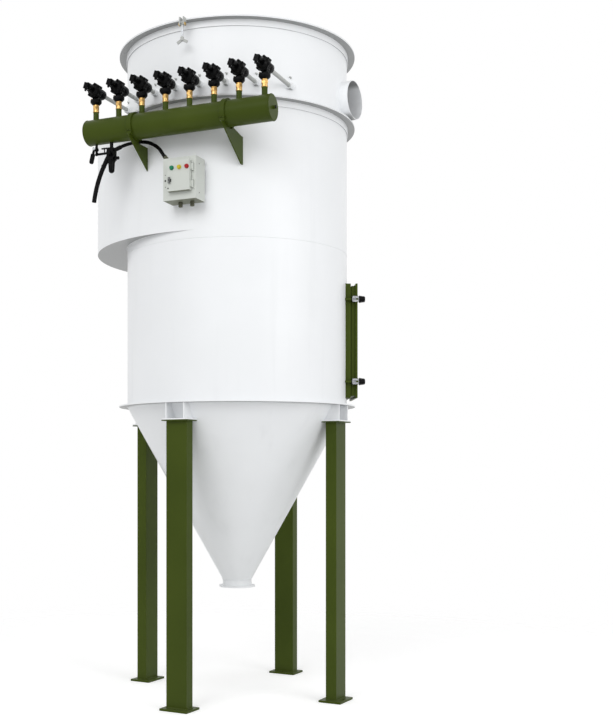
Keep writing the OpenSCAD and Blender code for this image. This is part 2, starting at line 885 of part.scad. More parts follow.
clamp_off = 18;
clamp_u = -access_w / 2 - clamp_off;
clamp_zs = [access_z + clamp_inset, access_z + access_h - clamp_inset];
sleeve_r = 16;
sleeve_len = 49;
sleeve_gap = 1;
sleeve_v = access_face + door_gap + sleeve_gap;

// Frame on the shell with two keeper bars under the clamps
module access_frame() {
    keeper_t = 14;
    keeper_out = 30;
    keeper_w = 40;
    color(paint_green) difference() {
        at_access() union() {
            translate([-access_w / 2, -access_face, access_z]) cube([access_w, access_face / 2, access_h]);
            for (z = clamp_zs) translate([-access_w / 2 - keeper_out, -access_face, z - keeper_t / 2])
                cube([keeper_w, access_face / 2, keeper_t]);
        }
        access_hole();
        cylinder(r = shell_r, h = far * 2);
    }
}

access_pin_off = 24;
access_pin_u = access_w / 2 + access_pin_off;
access_pin_v = access_face + door_gap + 14;
access_barrel_r = 11;
access_barrel_h = 70;
access_barrel_inset = 110;
access_pin_r = 6;
access_barrel_zs = [access_z + access_barrel_inset,
    access_z + access_h - access_barrel_inset - access_barrel_h];

// Arms on the frame's side with a cheek above and below each barrel, and the pins
module access_hinges() {
    cheek = 16;
    arm = 24;
    arm_lap = 1;
    arm_v = access_face - 6;
    color(paint_green) at_access() for (z = access_barrel_zs) {
        for (c = [z - cheek - cheek_gap, z + access_barrel_h + cheek_gap]) {
            translate([access_w / 2, -arm_v, c]) cube([access_pin_off + access_barrel_r, arm, cheek]);
            translate([access_pin_u - access_barrel_r, -access_pin_v - access_barrel_r, c])
                cube([2 * access_barrel_r, access_pin_v + access_barrel_r - arm_v + arm_lap, cheek]);
        }
        translate([access_pin_u, -access_pin_v, z - cheek])
            cylinder(r = access_pin_r, h = access_barrel_h + 2 * cheek);
    }
}

pan_v = access_face + door_gap;
rim_v = pan_v + pan_t;

// Pan with a wider rim plate, two hinge barrels and an ear at each clamp
module access_door() {
    edge = access_w / 2;
    web_t = 10;
    web_lap = 2;
    ear_wall = 6;
    ear_lap = 1;
    ear_h = 2 * (sleeve_r + ear_wall);
    color(paint_green) at_access() difference() {
        union() {
            translate([-edge + pan_inset, -rim_v, access_z + pan_inset])
                cube([access_w - 2 * pan_inset, pan_t, access_h - 2 * pan_inset]);
            translate([-edge, -rim_v - rim_t, access_z]) cube([access_w, rim_t, access_h]);
            for (z = access_barrel_zs) {
                translate([access_pin_u, -access_pin_v, z])
                    cylinder(r = access_barrel_r, h = access_barrel_h);
                translate([edge - pan_inset - web_lap, -access_pin_v - web_t / 2, z])
                    cube([access_pin_off + pan_inset, web_t, access_barrel_h]);
            }
            for (z = clamp_zs) translate([clamp_u - sleeve_r - ear_wall, -rim_v - rim_t, z - ear_h / 2])
                cube([clamp_off + sleeve_r + ear_wall + ear_lap, rim_t, ear_h]);
        }
        for (z = access_barrel_zs) translate([access_pin_u, -access_pin_v, z - over])
            cylinder(r = access_pin_r + pin_play, h = access_barrel_h + 2 * over);
        for (z = clamp_zs) facing(clamp_u, access_face, z) cylinder(r = sleeve_r, h = far);
    }
}

// Sleeves of the two knob clamps at the door's free edge
module door_clamps() {
    color(steel) at_access() for (z = clamp_zs) facing(clamp_u, sleeve_v, z)
        cylinder(r = sleeve_r, h = sleeve_len);
}

module door_knobs() {
    root_r = 17;
    knob_r = 22;
    taper_h = 16;
    knob_h = 28;
    color(black) at_access() for (z = clamp_zs) facing(clamp_u, sleeve_v + sleeve_len, z) {
        cylinder(r1 = root_r, r2 = knob_r, h = taper_h);
        translate([0, 0, taper_h]) cylinder(r = knob_r, h = knob_h);
    }
}

drain_u = -617;
unit_u = -500;
unit_w = 50;
drain_low = header_z - header_r;
drain_mid_z = drain_low - 34;
cross_z = drain_low - 66;
unit_top = drain_low - 36;
ball_r = 15;
stem_r = 5;
lever_v = header_v + 27;
hose_d = 30;
tail_wall = 1;

// Ball valve under the header's left end, with a cross pipe and its stop cock to the air unit
module drain_valve() {
    pipe_r = 9;
    elbow_r = 11;
    cross_r = 8;
    socket_v = header_v + 6;
    cock_u = -555;
    cock_r = 4;
    cock_h = 38;
    cock_bar = [44, 10, 8];
    color(black) gear() difference() {
        union() {
            translate([drain_u, -header_v, cross_z]) {
                cylinder(r = pipe_r, h = header_z - cross_z);
                sphere(r = elbow_r);
                rotate([0, 90, 0]) cylinder(r = cross_r, h = unit_u - unit_w / 2 - drain_u);
            }
            translate([drain_u, -header_v, drain_mid_z]) sphere(r = ball_r);
            translate([cock_u, -header_v, cross_z]) {
                cylinder(r = cock_r, h = cock_h);
                translate([-cock_bar.x / 2, -cock_bar.y / 2, cock_h - cock_bar.z]) cube(cock_bar);
            }
        }
        header_bar(header_r, -far, far);
        facing(drain_u, socket_v, drain_mid_z) cylinder(r = stem_r + pin_play, h = 2 * ball_r);
    }
}

// Lever of the drain valve, hanging down from its stem, with a thick round-ended grip
module drain_lever() {
    lever_len = 90;
    lever_w = 16;
    lever_t = 8;
    lever_tilt = 14;
    grip_w = 28;
    grip_t = 14;
    grip_len = 54;
    hub_r = 11;
    hub_lap = 2;
    stem_v = header_v + 8;
    color(black) gear() {
        facing(drain_u, stem_v, drain_mid_z) cylinder(r = stem_r, h = lever_v - stem_v);
        facing(drain_u, lever_v - hub_lap, drain_mid_z) cylinder(r = hub_r, h = lever_t + 2 * hub_lap);
        translate([drain_u, -lever_v - lever_t / 2, drain_mid_z]) rotate([0, lever_tilt, 0]) {
            translate([-lever_w / 2, -lever_t / 2, -lever_len]) cube([lever_w, lever_t, lever_len]);
            translate([-grip_w / 2, -grip_t / 2, -lever_len]) cube([grip_w, grip_t, grip_len]);
            translate([0, grip_t / 2, -lever_len]) rotate([90, 0, 0]) cylinder(d = grip_w, h = grip_t);
        }
    }
}

// Filter regulator that hangs from the header, with its bowl, knob, plug and two hose tails
module air_unit() {
    pipe_r = 12;
    unit_h = 83;
    bowl_h = 66;
    bowl_top_r = 24;
    bowl_low_r = 20;
    knob_r = 16;
    knob_h = 22;
    plug_r = 11;
    plug_len = 30;
    plug_up = 12;
    tail_len = 50;
    color(black) gear() difference() {
        union() {
            translate([unit_u, -header_v, unit_top - over]) cylinder(r = pipe_r, h = header_z - unit_top);
            translate([unit_u - unit_w / 2, -header_v - unit_w / 2, unit_top - unit_h])
                cube([unit_w, unit_w, unit_h]);
            translate([unit_u, -header_v, unit_top - unit_h - bowl_h]) {
                cylinder(r1 = bowl_low_r, r2 = bowl_top_r, h = bowl_h);
                sphere(r = bowl_low_r);
            }
            facing(unit_u, header_v + unit_w / 2, unit_top - unit_h / 2) cylinder(r = knob_r, h = knob_h);
            translate([unit_u + unit_w / 2, -header_v, unit_top - unit_h + plug_up]) rotate([0, 90, 0])
                cylinder(r = plug_r, h = plug_len);
            at_header() {
                aimed(hose_route[0], hose_route[0] - hose_route[1])
                    cylinder(d = hose_d + 2 * tail_wall, h = tail_len);
                aimed(conduit_route[0], conduit_route[0] - conduit_route[1])
                    cylinder(d = conduit_d + 2 * tail_wall, h = tail_len);
            }
        }
        header_bar(header_r, -far, far);
    }
}

// Children stand at the middle of the header's axis
module at_header() {
    translate([0, -header_v, header_z]) children();
}

// Children stand at a point with their own Z along a direction
module aimed(at, dir) {
    translate(at) rotate([0, acos(dir.z / norm(dir)), atan2(dir.y, dir.x)]) children();
}

// Where the conduit ends above the box's left front corner, and how it rises from there
conduit_inset = [6, 16, 16];
conduit_end = [box_u - box_w / 2 + conduit_inset.x, header_v - box_v + conduit_inset.y,
    box_h - box_drop + conduit_inset.z];
conduit_rise = [-14, 0, 17];

// Routes from the middle of the header's axis: the supply hose and the conduit to the box
hose_route = [[-545, -7, -219], [-554, -8, -236], [-563, -8, -253], [-571, -9, -270], [-579, -9, -288],
    [-586, -10, -306], [-593, -10, -324], [-599, -11, -342], [-605, -11, -361], [-610, -12, -380],
    [-615, -12, -399], [-619, -13, -418], [-623, -13, -438], [-626, -14, -457], [-629, -14, -477]];
conduit_route = [[-452, 22, -117], [-430, 33, -104.7], [-406, 46, -94], [-381, 59, -86], [-354, 70, -81],
    [-325, 77, -79.5], [-296, 79, -82], [-267, 76, -89], [-239, 69, -100], [-213, 60, -114],
    [-189, 50, -129], [-167, 40, -145], [-147, 30, -163], [-130, 21, -183],
    conduit_end + conduit_rise, conduit_end];

// Rings of points around a route, for a tube with round-number points
function unit_of(v) = v / norm(v);
function route_dir(p, i) = unit_of(p[min(i + 1, len(p) - 1)] - p[max(i - 1, 0)]);
function side_of(d) = unit_of(cross(d, abs(d.z) > 0.9 ? [0, 1, 0] : [0, 0, 1]));
module route_tube(p, r, sides) {
    pts = [for (i = [0 : len(p) - 1]) let (d = route_dir(p, i), a = side_of(d), b = cross(d, a))
        for (k = [0 : sides - 1]) p[i] + r * (cos(k * 360 / sides) * a + sin(k * 360 / sides) * b)];
    last = (len(p) - 1) * sides;
    polyhedron(pts, concat([[for (k = [0 : sides - 1]) k]], [[for (k = [sides - 1 : -1 : 0]) last + k]],
        [for (i = [0 : len(p) - 2]) for (k = [0 : sides - 1]) let (n = (k + 1) % sides)
            [i * sides + k, (i + 1) * sides + k, (i + 1) * sides + n, i * sides + n]]));
}

module supply_hose() {
    color(black) gear() at_header() route_tube(hose_route, hose_d / 2, 10);
}

module box_conduit() {
    color(black) gear() at_header() route_tube(conduit_route, conduit_d / 2, 10);
}

leg(0);  // leg_front
leg(90);  // leg_right
leg(180);  // leg_back
leg(270);  // leg_left
foot_plates();
leg_caps();
ring_lugs();
bottom_ring();
hopper_cone();
discharge_collar();
shell_lower_course();
shell_upper_course();
lower_flange();
upper_flange();
plenum_shell();
top_flange();
lid();
lid_clamp();
lid_hinge();
scroll_floor();
scroll_wall();
scroll_roof();
scroll_end();
inlet_spigot();
outlet_spigot();
header_tank();
header_caps();
header_stubs();
brass_unions();
inlet_nuts();
pulse_valves();
valve_covers();
solenoids();
blow_tubes();
tube_bushes();
header_brackets();
header_straps();
control_box();
box_rails();
box_hinges();
box_door();
box_lock();
light_green();
light_yellow();
light_red();
cable_glands();
access_frame();
access_hinges();
access_door();
door_clamps();
door_knobs();
drain_valve();
drain_lever();
air_unit();
supply_hose();
box_conduit();
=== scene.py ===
# %% [markdown]
# # Dressing a reverse jet dust filter
# The construction comes in as a fixed frame of named nodes: shells, flanges, legs, valves and doors. This
# lesson adds what a camera sees and a drawing leaves out: weld beads, screws, ribs, hoses and the finish of
# each surface. No node of the frame is moved or resized, and all lengths are metres.

# %% The frame
import math

import bmesh
import bpy
import numpy as np
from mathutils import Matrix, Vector


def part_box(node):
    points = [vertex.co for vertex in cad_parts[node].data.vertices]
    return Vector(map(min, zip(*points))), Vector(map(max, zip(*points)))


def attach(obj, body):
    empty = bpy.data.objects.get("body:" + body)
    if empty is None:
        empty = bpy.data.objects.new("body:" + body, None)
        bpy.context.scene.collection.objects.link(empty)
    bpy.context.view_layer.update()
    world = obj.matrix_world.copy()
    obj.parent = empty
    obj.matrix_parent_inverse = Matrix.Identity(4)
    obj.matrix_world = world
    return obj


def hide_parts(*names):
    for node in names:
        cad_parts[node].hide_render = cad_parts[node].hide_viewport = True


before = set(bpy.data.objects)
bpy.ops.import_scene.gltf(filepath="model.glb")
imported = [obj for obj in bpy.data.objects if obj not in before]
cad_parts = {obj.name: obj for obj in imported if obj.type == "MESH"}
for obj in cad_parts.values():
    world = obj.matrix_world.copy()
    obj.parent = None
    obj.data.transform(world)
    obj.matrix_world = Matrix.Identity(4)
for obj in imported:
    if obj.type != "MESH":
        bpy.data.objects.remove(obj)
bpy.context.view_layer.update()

# %% [markdown]
# ## The camera
# The photograph is taken at eye height with level lines of sight, so upright edges stay upright and the
# framing is shifted instead of tilted. The same can be done here: the camera looks level, and its shift
# brings the point that level lines run to back to its pixel. A tilted camera would make the legs converge.

# %% Camera at the photograph's place
PHOTO_W, PHOTO_H = 613, 720
FOCAL_PIXELS = 1117.3
EYE_PIXEL = (237.35, 466.65)
EYE = Vector((4.023, -7.137, 1.635))
SIGHT = Vector((-0.4909, 0.8712, 0.0))
SENSOR = 36.0
scene = bpy.context.scene
lens = bpy.data.cameras.new("photo_camera")
lens.sensor_width = SENSOR
lens.lens = SENSOR * FOCAL_PIXELS / PHOTO_H
lens.shift_x = (PHOTO_W / 2 - EYE_PIXEL[0]) / PHOTO_H
lens.shift_y = (EYE_PIXEL[1] - PHOTO_H / 2) / PHOTO_H
camera = bpy.data.objects.new("photo_camera", lens)
camera.location = EYE
camera.rotation_mode = "QUATERNION"
camera.rotation_quaternion = SIGHT.to_track_quat("-Z", "Y")
scene.collection.objects.link(camera)
scene.camera = camera
scene.view_settings.view_transform = "Standard"
print("camera: lens", round(lens.lens, 2), "mm, shift", round(lens.shift_x, 4), round(lens.shift_y, 4))

# %% [markdown]
# ## Reading places from the frame
# Details have to sit on what carries them. Typing their places again would drift from the construction, so
# they are read from the nodes: a node such as the valve covers holds eight separate solids, and each one's
# box says where a valve is. The line through the first and last cover gives the row's own directions.

# %% Separate solids of a node
UP = Vector((0, 0, 1))


class Solid:
    """One separate solid of a node, with its box and its points."""

    def __init__(self, points):
        self.points = points
        self.low, self.high = Vector(points.min(0)), Vector(points.max(0))
        self.centre = (self.low + self.high) / 2

    def reach(self, direction):
        """Lowest and highest place of the solid along a direction."""
        along_it = self.points @ np.array(direction)
        return float(along_it.min()), float(along_it.max())


def solids(node):
    """The node's separate solids, from left to right."""
    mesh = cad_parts[node].data
    points = np.array([v.co for v in mesh.vertices])
    same = np.unique(points.round(5), axis=0, return_inverse=True)[1].ravel()
    owner = list(range(same.max() + 1))

    def root(i):
        while owner[i] != i:
            owner[i] = owner[owner[i]]
            i = owner[i]
        return i

    for a, b in (edge.vertices for edge in mesh.edges):
        owner[root(same[a])] = root(same[b])
    groups = {}
    for i, place in enumerate(same):
        groups.setdefault(root(place), []).append(i)
    return sorted((Solid(points[g]) for g in groups.values()), key=lambda s: s.centre.x)


covers = solids("valve_covers")
ALONG = (covers[-1].centre - covers[0].centre).normalized()
OUT = ALONG.cross(UP)
row_turn = math.degrees(math.atan2(ALONG.y, ALONG.x))
print("valves:", len(covers), "row turned by", round(row_turn, 2), "degrees")

# %% Places in the valve row's directions
header = solids("header_tank")[0]
HEADER_V = sum(header.reach(OUT)) / 2
HEADER_Z = header.centre.z
HEADER_R = (header.high.z - header.low.z) / 2
shell_low, shell_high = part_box("shell_upper_course")
SHELL_R = shell_high.x
VALVE_US = [cover.centre.dot(ALONG) for cover in covers]
TUBE_Z = covers[0].centre.z


def gear(u, v, z):
    """A point along the valve row, out from the vessel's axis, and up from the floor."""
    return ALONG * u + OUT * v + UP * z


print("header: out", round(HEADER_V, 4), "up", round(HEADER_Z, 4), "radius", round(HEADER_R, 4))

# %% [markdown]
# ## Tools for making shapes
# Turned parts, swept bars and hulls cover nearly everything here. They could be modifiers on primitives, but
# hundreds of small objects are slow and hard to keep in place. Instead a Stock gathers points and faces, and
# becomes one mesh per piece: a row of screws is one piece with many closed shapes.

# %% Stock for turned, swept and hulled shapes
TURN = 2 * math.pi


def square_to(axis):
    """Two directions square to an axis and to each other."""
    helper = UP if abs(axis.normalized().z) < 0.9 else Vector((1, 0, 0))
    first = helper.cross(axis).normalized()
    return first, axis.normalized().cross(first)


class Stock:
    """Points and faces of one piece, gathered shape by shape."""

    def __init__(self):
        self.points = []
        self.faces = []

    def add(self, points, faces):
        first = len(self.points)
        self.points.extend(points)
        self.faces.extend([first + i for i in face] for face in faces)

    def turned(self, profile, foot, axis, sides=32, lobes=0, depth=0.0, ring=False):
        """A turned shape from (height, radius) pairs; lobes flute it and ring closes the profile."""
        axis = axis.normalized()
        across, side = square_to(axis)
        points, rows = [], []
        for height, radius in profile:
            count = sides if radius > 0 else 1
            rows.append([len(points) + i for i in range(count)])
            for i in range(count):
                angle = TURN * i / sides
                r = radius * (1 + depth * math.cos(lobes * angle))
                points.append(foot + axis * height + (across * math.cos(angle) + side * math.sin(angle)) * r)
        faces = []
        pairs = list(zip(rows, rows[1:] + rows[:1]))
        for a, b in pairs if ring else pairs[:-1]:
            for i in range(sides):
                j = (i + 1) % sides
                corners = [a[i % len(a)], a[j % len(a)], b[j % len(b)], b[i % len(b)]]
                faces.append(list(dict.fromkeys(corners)))
        if not ring:
            faces.extend(row for row in (rows[0][::-1], rows[-1]) if len(row) > 2)
        self.add(points, faces)

    def swept(self, path, radii, sides=8, closed=False):
        """A round bar along a path, with a radius for each point."""
        path = [Vector(p) for p in path]
        count = len(path)
        points, faces = [], []
        across = None
        for i, place in enumerate(path):
            before = path[i - 1] if closed or i else path[0]
            after = path[(i + 1) % count] if closed or i + 1 < count else path[-1]
            heading = (after - before).normalized()
            across = square_to(heading)[0] if across is None else across
            across = (across - heading * across.dot(heading)).normalized()
            side = heading.cross(across)
            for k in range(sides):
                angle = TURN * k / sides
                points.append(place + (across * math.cos(angle) + side * math.sin(angle)) * radii[i])
        for i in range(count if closed else count - 1):
            a, b = i * sides, (i + 1) % count * sides
            for k in range(sides):
                n = (k + 1) % sides
                faces.append([a + k, a + n, b + n, b + k])
        if not closed:
            faces.append(list(range(sides))[::-1])
            faces.append([(count - 1) * sides + k for k in range(sides)])
        self.add(points, faces)

    def hulled(self, points):
        """The smallest convex shape around some points."""
        work = bmesh.new()
        for point in points:
            work.verts.new(point)
        bmesh.ops.convex_hull(work, input=work.verts)
        loose = [v for v in work.verts if not v.link_faces]
        bmesh.ops.delete(work, geom=loose, context="VERTS")
        bmesh.ops.dissolve_limit(work, angle_limit=0.01, verts=work.verts, edges=work.edges)
        work.verts.index_update()
        self.add([v.co.copy() for v in work.verts], [[v.index for v in f.verts] for f in work.faces])
        work.free()

    def block(self, centre, axes, size, chamfer):
        """A box with chamfered edges; axes are its three directions."""
        half = [s / 2 for s in size]
        corners = []
        for signs in np.ndindex(2, 2, 2):
            for full in range(3):
                offset = [half[k] - (0 if k == full else chamfer) for k in range(3)]
                steps = (axes[k] * offset[k] * (2 * signs[k] - 1) for k in range(3))
                corners.append(centre + sum(steps, Vector()))
        self.hulled(corners)


print("stock: turned, swept, hulled and block")

# %% Screws and weld beads
BEAD_STEP, RIPPLE = 0.005, 0.06
BOLD, FILLET, SEAM, FINE, HAIR = 0.006, 0.004, 0.003, 0.0025, 0.002
PROUD = 0.001
DOME_RISE = 0.6


def hex_head(stock, foot, axis, flats, height, washer=0.0):
    """A chamfered hexagon on a washer of that thickness."""
    corner = flats / math.sqrt(3)
    if washer:
        stock.turned([(0, flats), (washer * 0.7, flats), (washer, flats * 0.94)], foot, axis, 24)
    top = washer + height
    stock.turned([(washer * 0.5, corner), (top - height * 0.15, corner), (top, corner * 0.86)], foot, axis, 6)


def dome_head(stock, foot, axis, radius):
    """A low domed screw head."""
    rise = radius * DOME_RISE
    steps = [math.radians(15 * k) for k in range(6)]
    profile = [(rise * math.sin(t), radius * math.cos(t)) for t in steps]
    stock.turned(profile + [(rise, 0)], foot, axis, 16)


def evenly(path, step, closed):
    """The path's points again, about one step apart."""
    points = np.array([list(p) for p in path] + ([list(path[0])] if closed else []))
    run = np.concatenate([[0], np.cumsum(np.linalg.norm(np.diff(points, axis=0), axis=1))])
    count = max(4, 2 * round(run[-1] / step / 2))
    places = np.linspace(0, run[-1], count + 1)[:-1] if closed else np.linspace(0, run[-1], count + 1)
    return [Vector([np.interp(s, run, points[:, k]) for k in range(3)]) for s in places]


def bead(stock, path, radius, closed=True):
    """A weld bead with its ripples along a path."""
    path = evenly(path, BEAD_STEP, closed)
    stock.swept(path, [radius * (1 + RIPPLE * (1 if i % 2 else -1)) for i in range(len(path))], 6, closed)


def circle(centre, axis, radius, start=0.0, end=360.0, count=240):
    """Points round a circle or along an arc of it, in degrees from its first direction."""
    across, side = square_to(axis)
    last = count if abs(end - start) == 360.0 else count + 1
    angles = [math.radians(start + (end - start) * i / count) for i in range(last)]
    return [centre + (across * math.cos(t) + side * math.sin(t)) * radius for t in angles]


print("beads: step", BEAD_STEP, "radii", BOLD, FILLET, SEAM, FINE, HAIR)

# %% [markdown]
# ## Shader maths as expressions
# Every finish below is worked out from noise, height and masks. Wiring each sum by hand hides the idea, so a
# Wire wraps one socket and its operators add the Math nodes. All other nodes come from Finish.node, which
# takes the node's type, its settings and its inputs.

# %% Wire and Finish


class Wire:
    """One output socket; arithmetic on it adds Math nodes."""

    def __init__(self, finish, socket):
        self.finish = finish
        self.socket = socket

    def maths(self, operation, first, second):
        return self.finish.node("ShaderNodeMath", {"operation": operation}, {0: first, 1: second})

    def __add__(self, other):
        return self.maths("ADD", self, other)

    def __radd__(self, other):
        return self.maths("ADD", other, self)

    def __sub__(self, other):
        return self.maths("SUBTRACT", self, other)

    def __rsub__(self, other):
        return self.maths("SUBTRACT", other, self)

    def __mul__(self, other):
        return self.maths("MULTIPLY", self, other)

    def __rmul__(self, other):
        return self.maths("MULTIPLY", other, self)

    def rise(self, low, high):
        """0 below low, 1 above high and a smooth rise between."""
        inputs = {"Value": self, "From Min": low, "From Max": high}
        return self.finish.node("ShaderNodeMapRange", {"interpolation_type": "SMOOTHSTEP"}, inputs)


class Finish:
    """A material and its nodes."""

    def __init__(self, name):
        self.material = bpy.data.materials.new(name)
        self.material.use_nodes = True
        self.tree = self.material.node_tree
        self.shader = self.tree.nodes["Principled BSDF"]
        self.place = self.node("ShaderNodeTexCoord", output="Object")

    def node(self, kind, settings=None, inputs=None, output=0):
        """Any node: its settings first, then the values or links of its sockets."""
        made = self.tree.nodes.new(kind)
        for key, value in (settings or {}).items():
            setattr(made, key, value)
        self.feed(made, inputs or {})
        return Wire(self, made.outputs[output])

    def feed(self, target, inputs):
        for key, value in inputs.items():
            if isinstance(value, Wire):
                self.tree.links.new(value.socket, target.inputs[key])
            else:
                target.inputs[key].default_value = value

    def set(self, **inputs):
        """Sockets of the shader, with spaces written as underscores."""
        self.feed(self.shader, {key.replace("_", " "): value for key, value in inputs.items()})

    def noise(self, scale, detail=3.0, stretch=None):
        """Noise of that many waves a metre, stretched along the axes if asked."""
        place = self.place
        if stretch:
            place = self.node("ShaderNodeVectorMath", {"operation": "MULTIPLY"}, {0: place, 1: stretch})
        return self.node("ShaderNodeTexNoise", {}, {"Vector": place, "Scale": scale, "Detail": detail})

    def blend(self, share, first, second):
        """Two colours mixed by a share."""
        return self.node("ShaderNodeMix", {"data_type": "RGBA"}, {0: share, 6: first, 7: second}, output=2)

    def bump(self, height, strength, distance):
        return self.node("ShaderNodeBump", {}, {"Height": height, "Strength": strength, "Distance": distance})


def tone(red, green, blue):
    """A colour as seen on screen, 0 to 255, as the linear values that shaders use."""
    values = [c / 255 for c in (red, green, blue)]
    return [v / 12.92 if v <= 0.04045 else ((v + 0.055) / 1.055) ** 2.4 for v in values] + [1.0]


print("finish tools ready")

# %% [markdown]
# ## Painted sheet and steel
# The vessel is sprayed white and the steelwork olive green. Sprayed paint is never one flat colour: it has a
# fine orange peel, soft clouds where the coat is thicker, a breath of dust on faces that look up and faint
# runs below the rims. Faces that look down also get painted shade, a grey colour blended in where shade
# falls. One routine makes all paints from a share for each fault and for the painted shade, and the shares
# are small because the plant is new and clean.

# %% Sprayed paint
DUST = tone(150, 146, 138)
# Painted shade colour: the grey blended into paint on faces that look down.
UNDER_SHADE_GREY = tone(128, 129, 128)
# Painted shade and painted reflection: an olive-grey for the box's downward faces, standing in for shade and
# green light from below.
UNDER_SHADE_OLIVE_GREEN = tone(86, 89, 60)


def sprayed(name, coat, clouds, rough, peel, runs, dust, shade, painted_shade, gloss, under_shade_colour=UNDER_SHADE_GREY):
    """Sprayed paint: its colour, a darker shade of it, how strong each of its faults is, how strongly painted
    shade greys faces that look down, and its gloss.
    """
    paint = Finish(name)
    cloud = paint.noise(1.4, 4.0).rise(0.3, 0.7) * clouds
    run = paint.noise(9.0, 4.0, (1.0, 1.0, 0.06)).rise(0.56, 0.78) * runs
    fine = paint.noise(60.0, 2.0)
    normal = paint.node("ShaderNodeNewGeometry", output="Normal")
    upward = paint.node("ShaderNodeSeparateXYZ", {}, {0: normal}, output=2)
    settled = upward.rise(0.4, 0.95) * paint.noise(4.0, 5.0).rise(0.2, 0.8) * dust
    # Painted shade: faces that look down are blended towards the shade colour, standing in for the shade that
    # falls under them.
    painted_under_shade = (0.0 - upward).rise(0.75, 0.97) * painted_shade
    colour = paint.blend(cloud + run, coat, shade)
    colour = paint.blend(painted_under_shade, paint.blend(settled, colour, DUST), under_shade_colour)
    paint.set(Base_Color=colour, Roughness=rough + (fine - 0.5) * 0.12 + settled * 0.5)
    paint.set(Normal=paint.bump(paint.noise(420.0, 2.0), peel, 0.0006))
    paint.set(Specular_IOR_Level=gloss)
    return paint.material


WHITE = sprayed("white_paint", tone(246, 248, 250), clouds=0.35, rough=0.36, peel=0.10, runs=0.30, dust=0.25,
                shade=tone(234, 236, 238), painted_shade=0.85, gloss=0.30)
OLIVE = sprayed("olive_paint", tone(66, 79, 22), clouds=0.55, rough=0.36, peel=0.14, runs=0.25, dust=0.10,
                shade=tone(54, 67, 14), painted_shade=0.0, gloss=0.10)
# The box's faces that look down get olive-grey painted shade, which also paints in a reflection of green from
# below.
BOX_GREY = sprayed("box_powder_coat", tone(207, 211, 205), clouds=0.30, rough=0.48, peel=0.32, runs=0.10,
                   dust=0.12, shade=tone(198, 202, 196), painted_shade=0.80, gloss=0.25, under_shade_colour=UNDER_SHADE_OLIVE_GREEN)
print("paints:", WHITE.name, OLIVE.name, BOX_GREY.name)

# %% [markdown]
# ## Metals, castings and plastics
# Brass, zinc and chrome differ in colour and in how their gloss breaks up: brass tarnishes in blots, zinc
# shows grains and chrome only fine scratches. The valve bodies are black castings with a sandy skin, hoses
# are rubber with a cloth imprint, and the pilot lights are coloured plastic with moulded rings. Black parts
# get little gloss, since all that they could mirror here is white.

# %% Bright metals and black parts
BLACK_GLOSS, LENS_GLOSS = 0.08, 0.30


def metal(name, bright, dull, rough, grain, scratch):
    """Metal with dull blots of that many a metre and fine scratches."""
    finish = Finish(name)
    blot = finish.noise(grain, 3.0).rise(0.35, 0.7)
    fine = finish.noise(900.0, 2.0, (1.0, 1.0, 0.15))
    finish.set(Base_Color=finish.blend(blot * 0.7, bright, dull), Roughness=rough + blot * 0.15 + fine * 0.06)
    finish.set(Normal=finish.bump(fine, scratch, 0.0003))
    finish.set(Metallic=1.0)
    return finish.material


def moulded(name, body, worn, rough, skin, grain):
    """Black castings, plastics and rubber with a skin of that grain."""
    finish = Finish(name)
    patch = finish.noise(35.0, 4.0).rise(0.45, 0.75)
    finish.set(Base_Color=finish.blend(patch * 0.6, body, worn), Roughness=rough + (patch - 0.5) * 0.14)
    finish.set(Normal=finish.bump(finish.noise(grain, 3.0), skin, 0.0006))
    finish.set(Specular_IOR_Level=BLACK_GLOSS)
    return finish.material


def lens_plastic(name, colour, deep):
    """Coloured lens with moulded rings."""
    finish = Finish(name)
    inputs = {"Vector": finish.place, "Scale": 90.0}
    waves = finish.node("ShaderNodeTexWave", {"bands_direction": "Z"}, inputs, output=1)
    finish.set(Base_Color=finish.blend(waves * 0.5, colour, deep), Roughness=0.16 + waves * 0.08)
    finish.set(Normal=finish.bump(waves, 0.25, 0.0008))
    finish.set(Specular_IOR_Level=LENS_GLOSS)
    return finish.material


BRASS = metal("brass", tone(220, 182, 116), tone(158, 122, 70), 0.26, 70.0, 0.15)
ZINC = metal("zinc_steel", tone(206, 209, 212), tone(160, 164, 168), 0.30, 160.0, 0.12)
LOCK_STEEL = metal("lock_steel", tone(118, 120, 119), tone(72, 74, 74), 0.34, 150.0, 0.12)
YELLOW_ZINC = metal("yellow_zinc", tone(214, 186, 128), tone(160, 130, 84), 0.32, 120.0, 0.12)
CHROME = metal("chrome", tone(186, 188, 192), tone(132, 134, 138), 0.12, 60.0, 0.05)
TUBE_GREY = sprayed("tube_grey", tone(184, 186, 183), clouds=0.45, rough=0.34, peel=0.10, runs=0.20,
                    dust=0.15, shade=tone(166, 169, 167), painted_shade=0.30, gloss=0.30)
CASTING = moulded("black_casting", tone(10, 10, 11), tone(19, 19, 20), 0.34, 0.30, 700.0)
PLASTIC = moulded("black_plastic", tone(9, 9, 10), tone(17, 17, 18), 0.28, 0.15, 1200.0)
GLAND = moulded("gland_plastic", tone(92, 93, 78), tone(78, 79, 66), 0.42, 0.15, 1200.0)
# Pale grey rubber for the valve diaphragms: the part is real, but its paleness is a painted highlight for the
# bright rim between cover and flange.
PALE_RUBBER_HIGHLIGHT = moulded("grey_rubber_painted_highlight", tone(120, 120, 118), tone(96, 96, 94), 0.55, 0.25, 1500.0)
RUBBER = moulded("rubber", tone(10, 10, 11), tone(20, 20, 20), 0.50, 0.35, 1500.0)
GREEN_LENS = lens_plastic("green_lens", tone(14, 132, 92), tone(6, 86, 58))
YELLOW_LENS = lens_plastic("yellow_lens", tone(214, 196, 54), tone(158, 142, 20))
RED_LENS = lens_plastic("red_lens", tone(180, 12, 26), tone(112, 5, 13))
print("finishes:", len(bpy.data.materials))

# %% [markdown]
# ## Finishing the nodes of the frame
# Each node keeps its own mesh and gets a finish by its material slot. Real plate has no knife edges, so the
# edges are eased by modifiers: Weld joins the split points, Decimate merges flat triangles, Bevel eases the
# edge and Weighted Normal keeps flat faces flat. The modifiers never touch the node's own points.

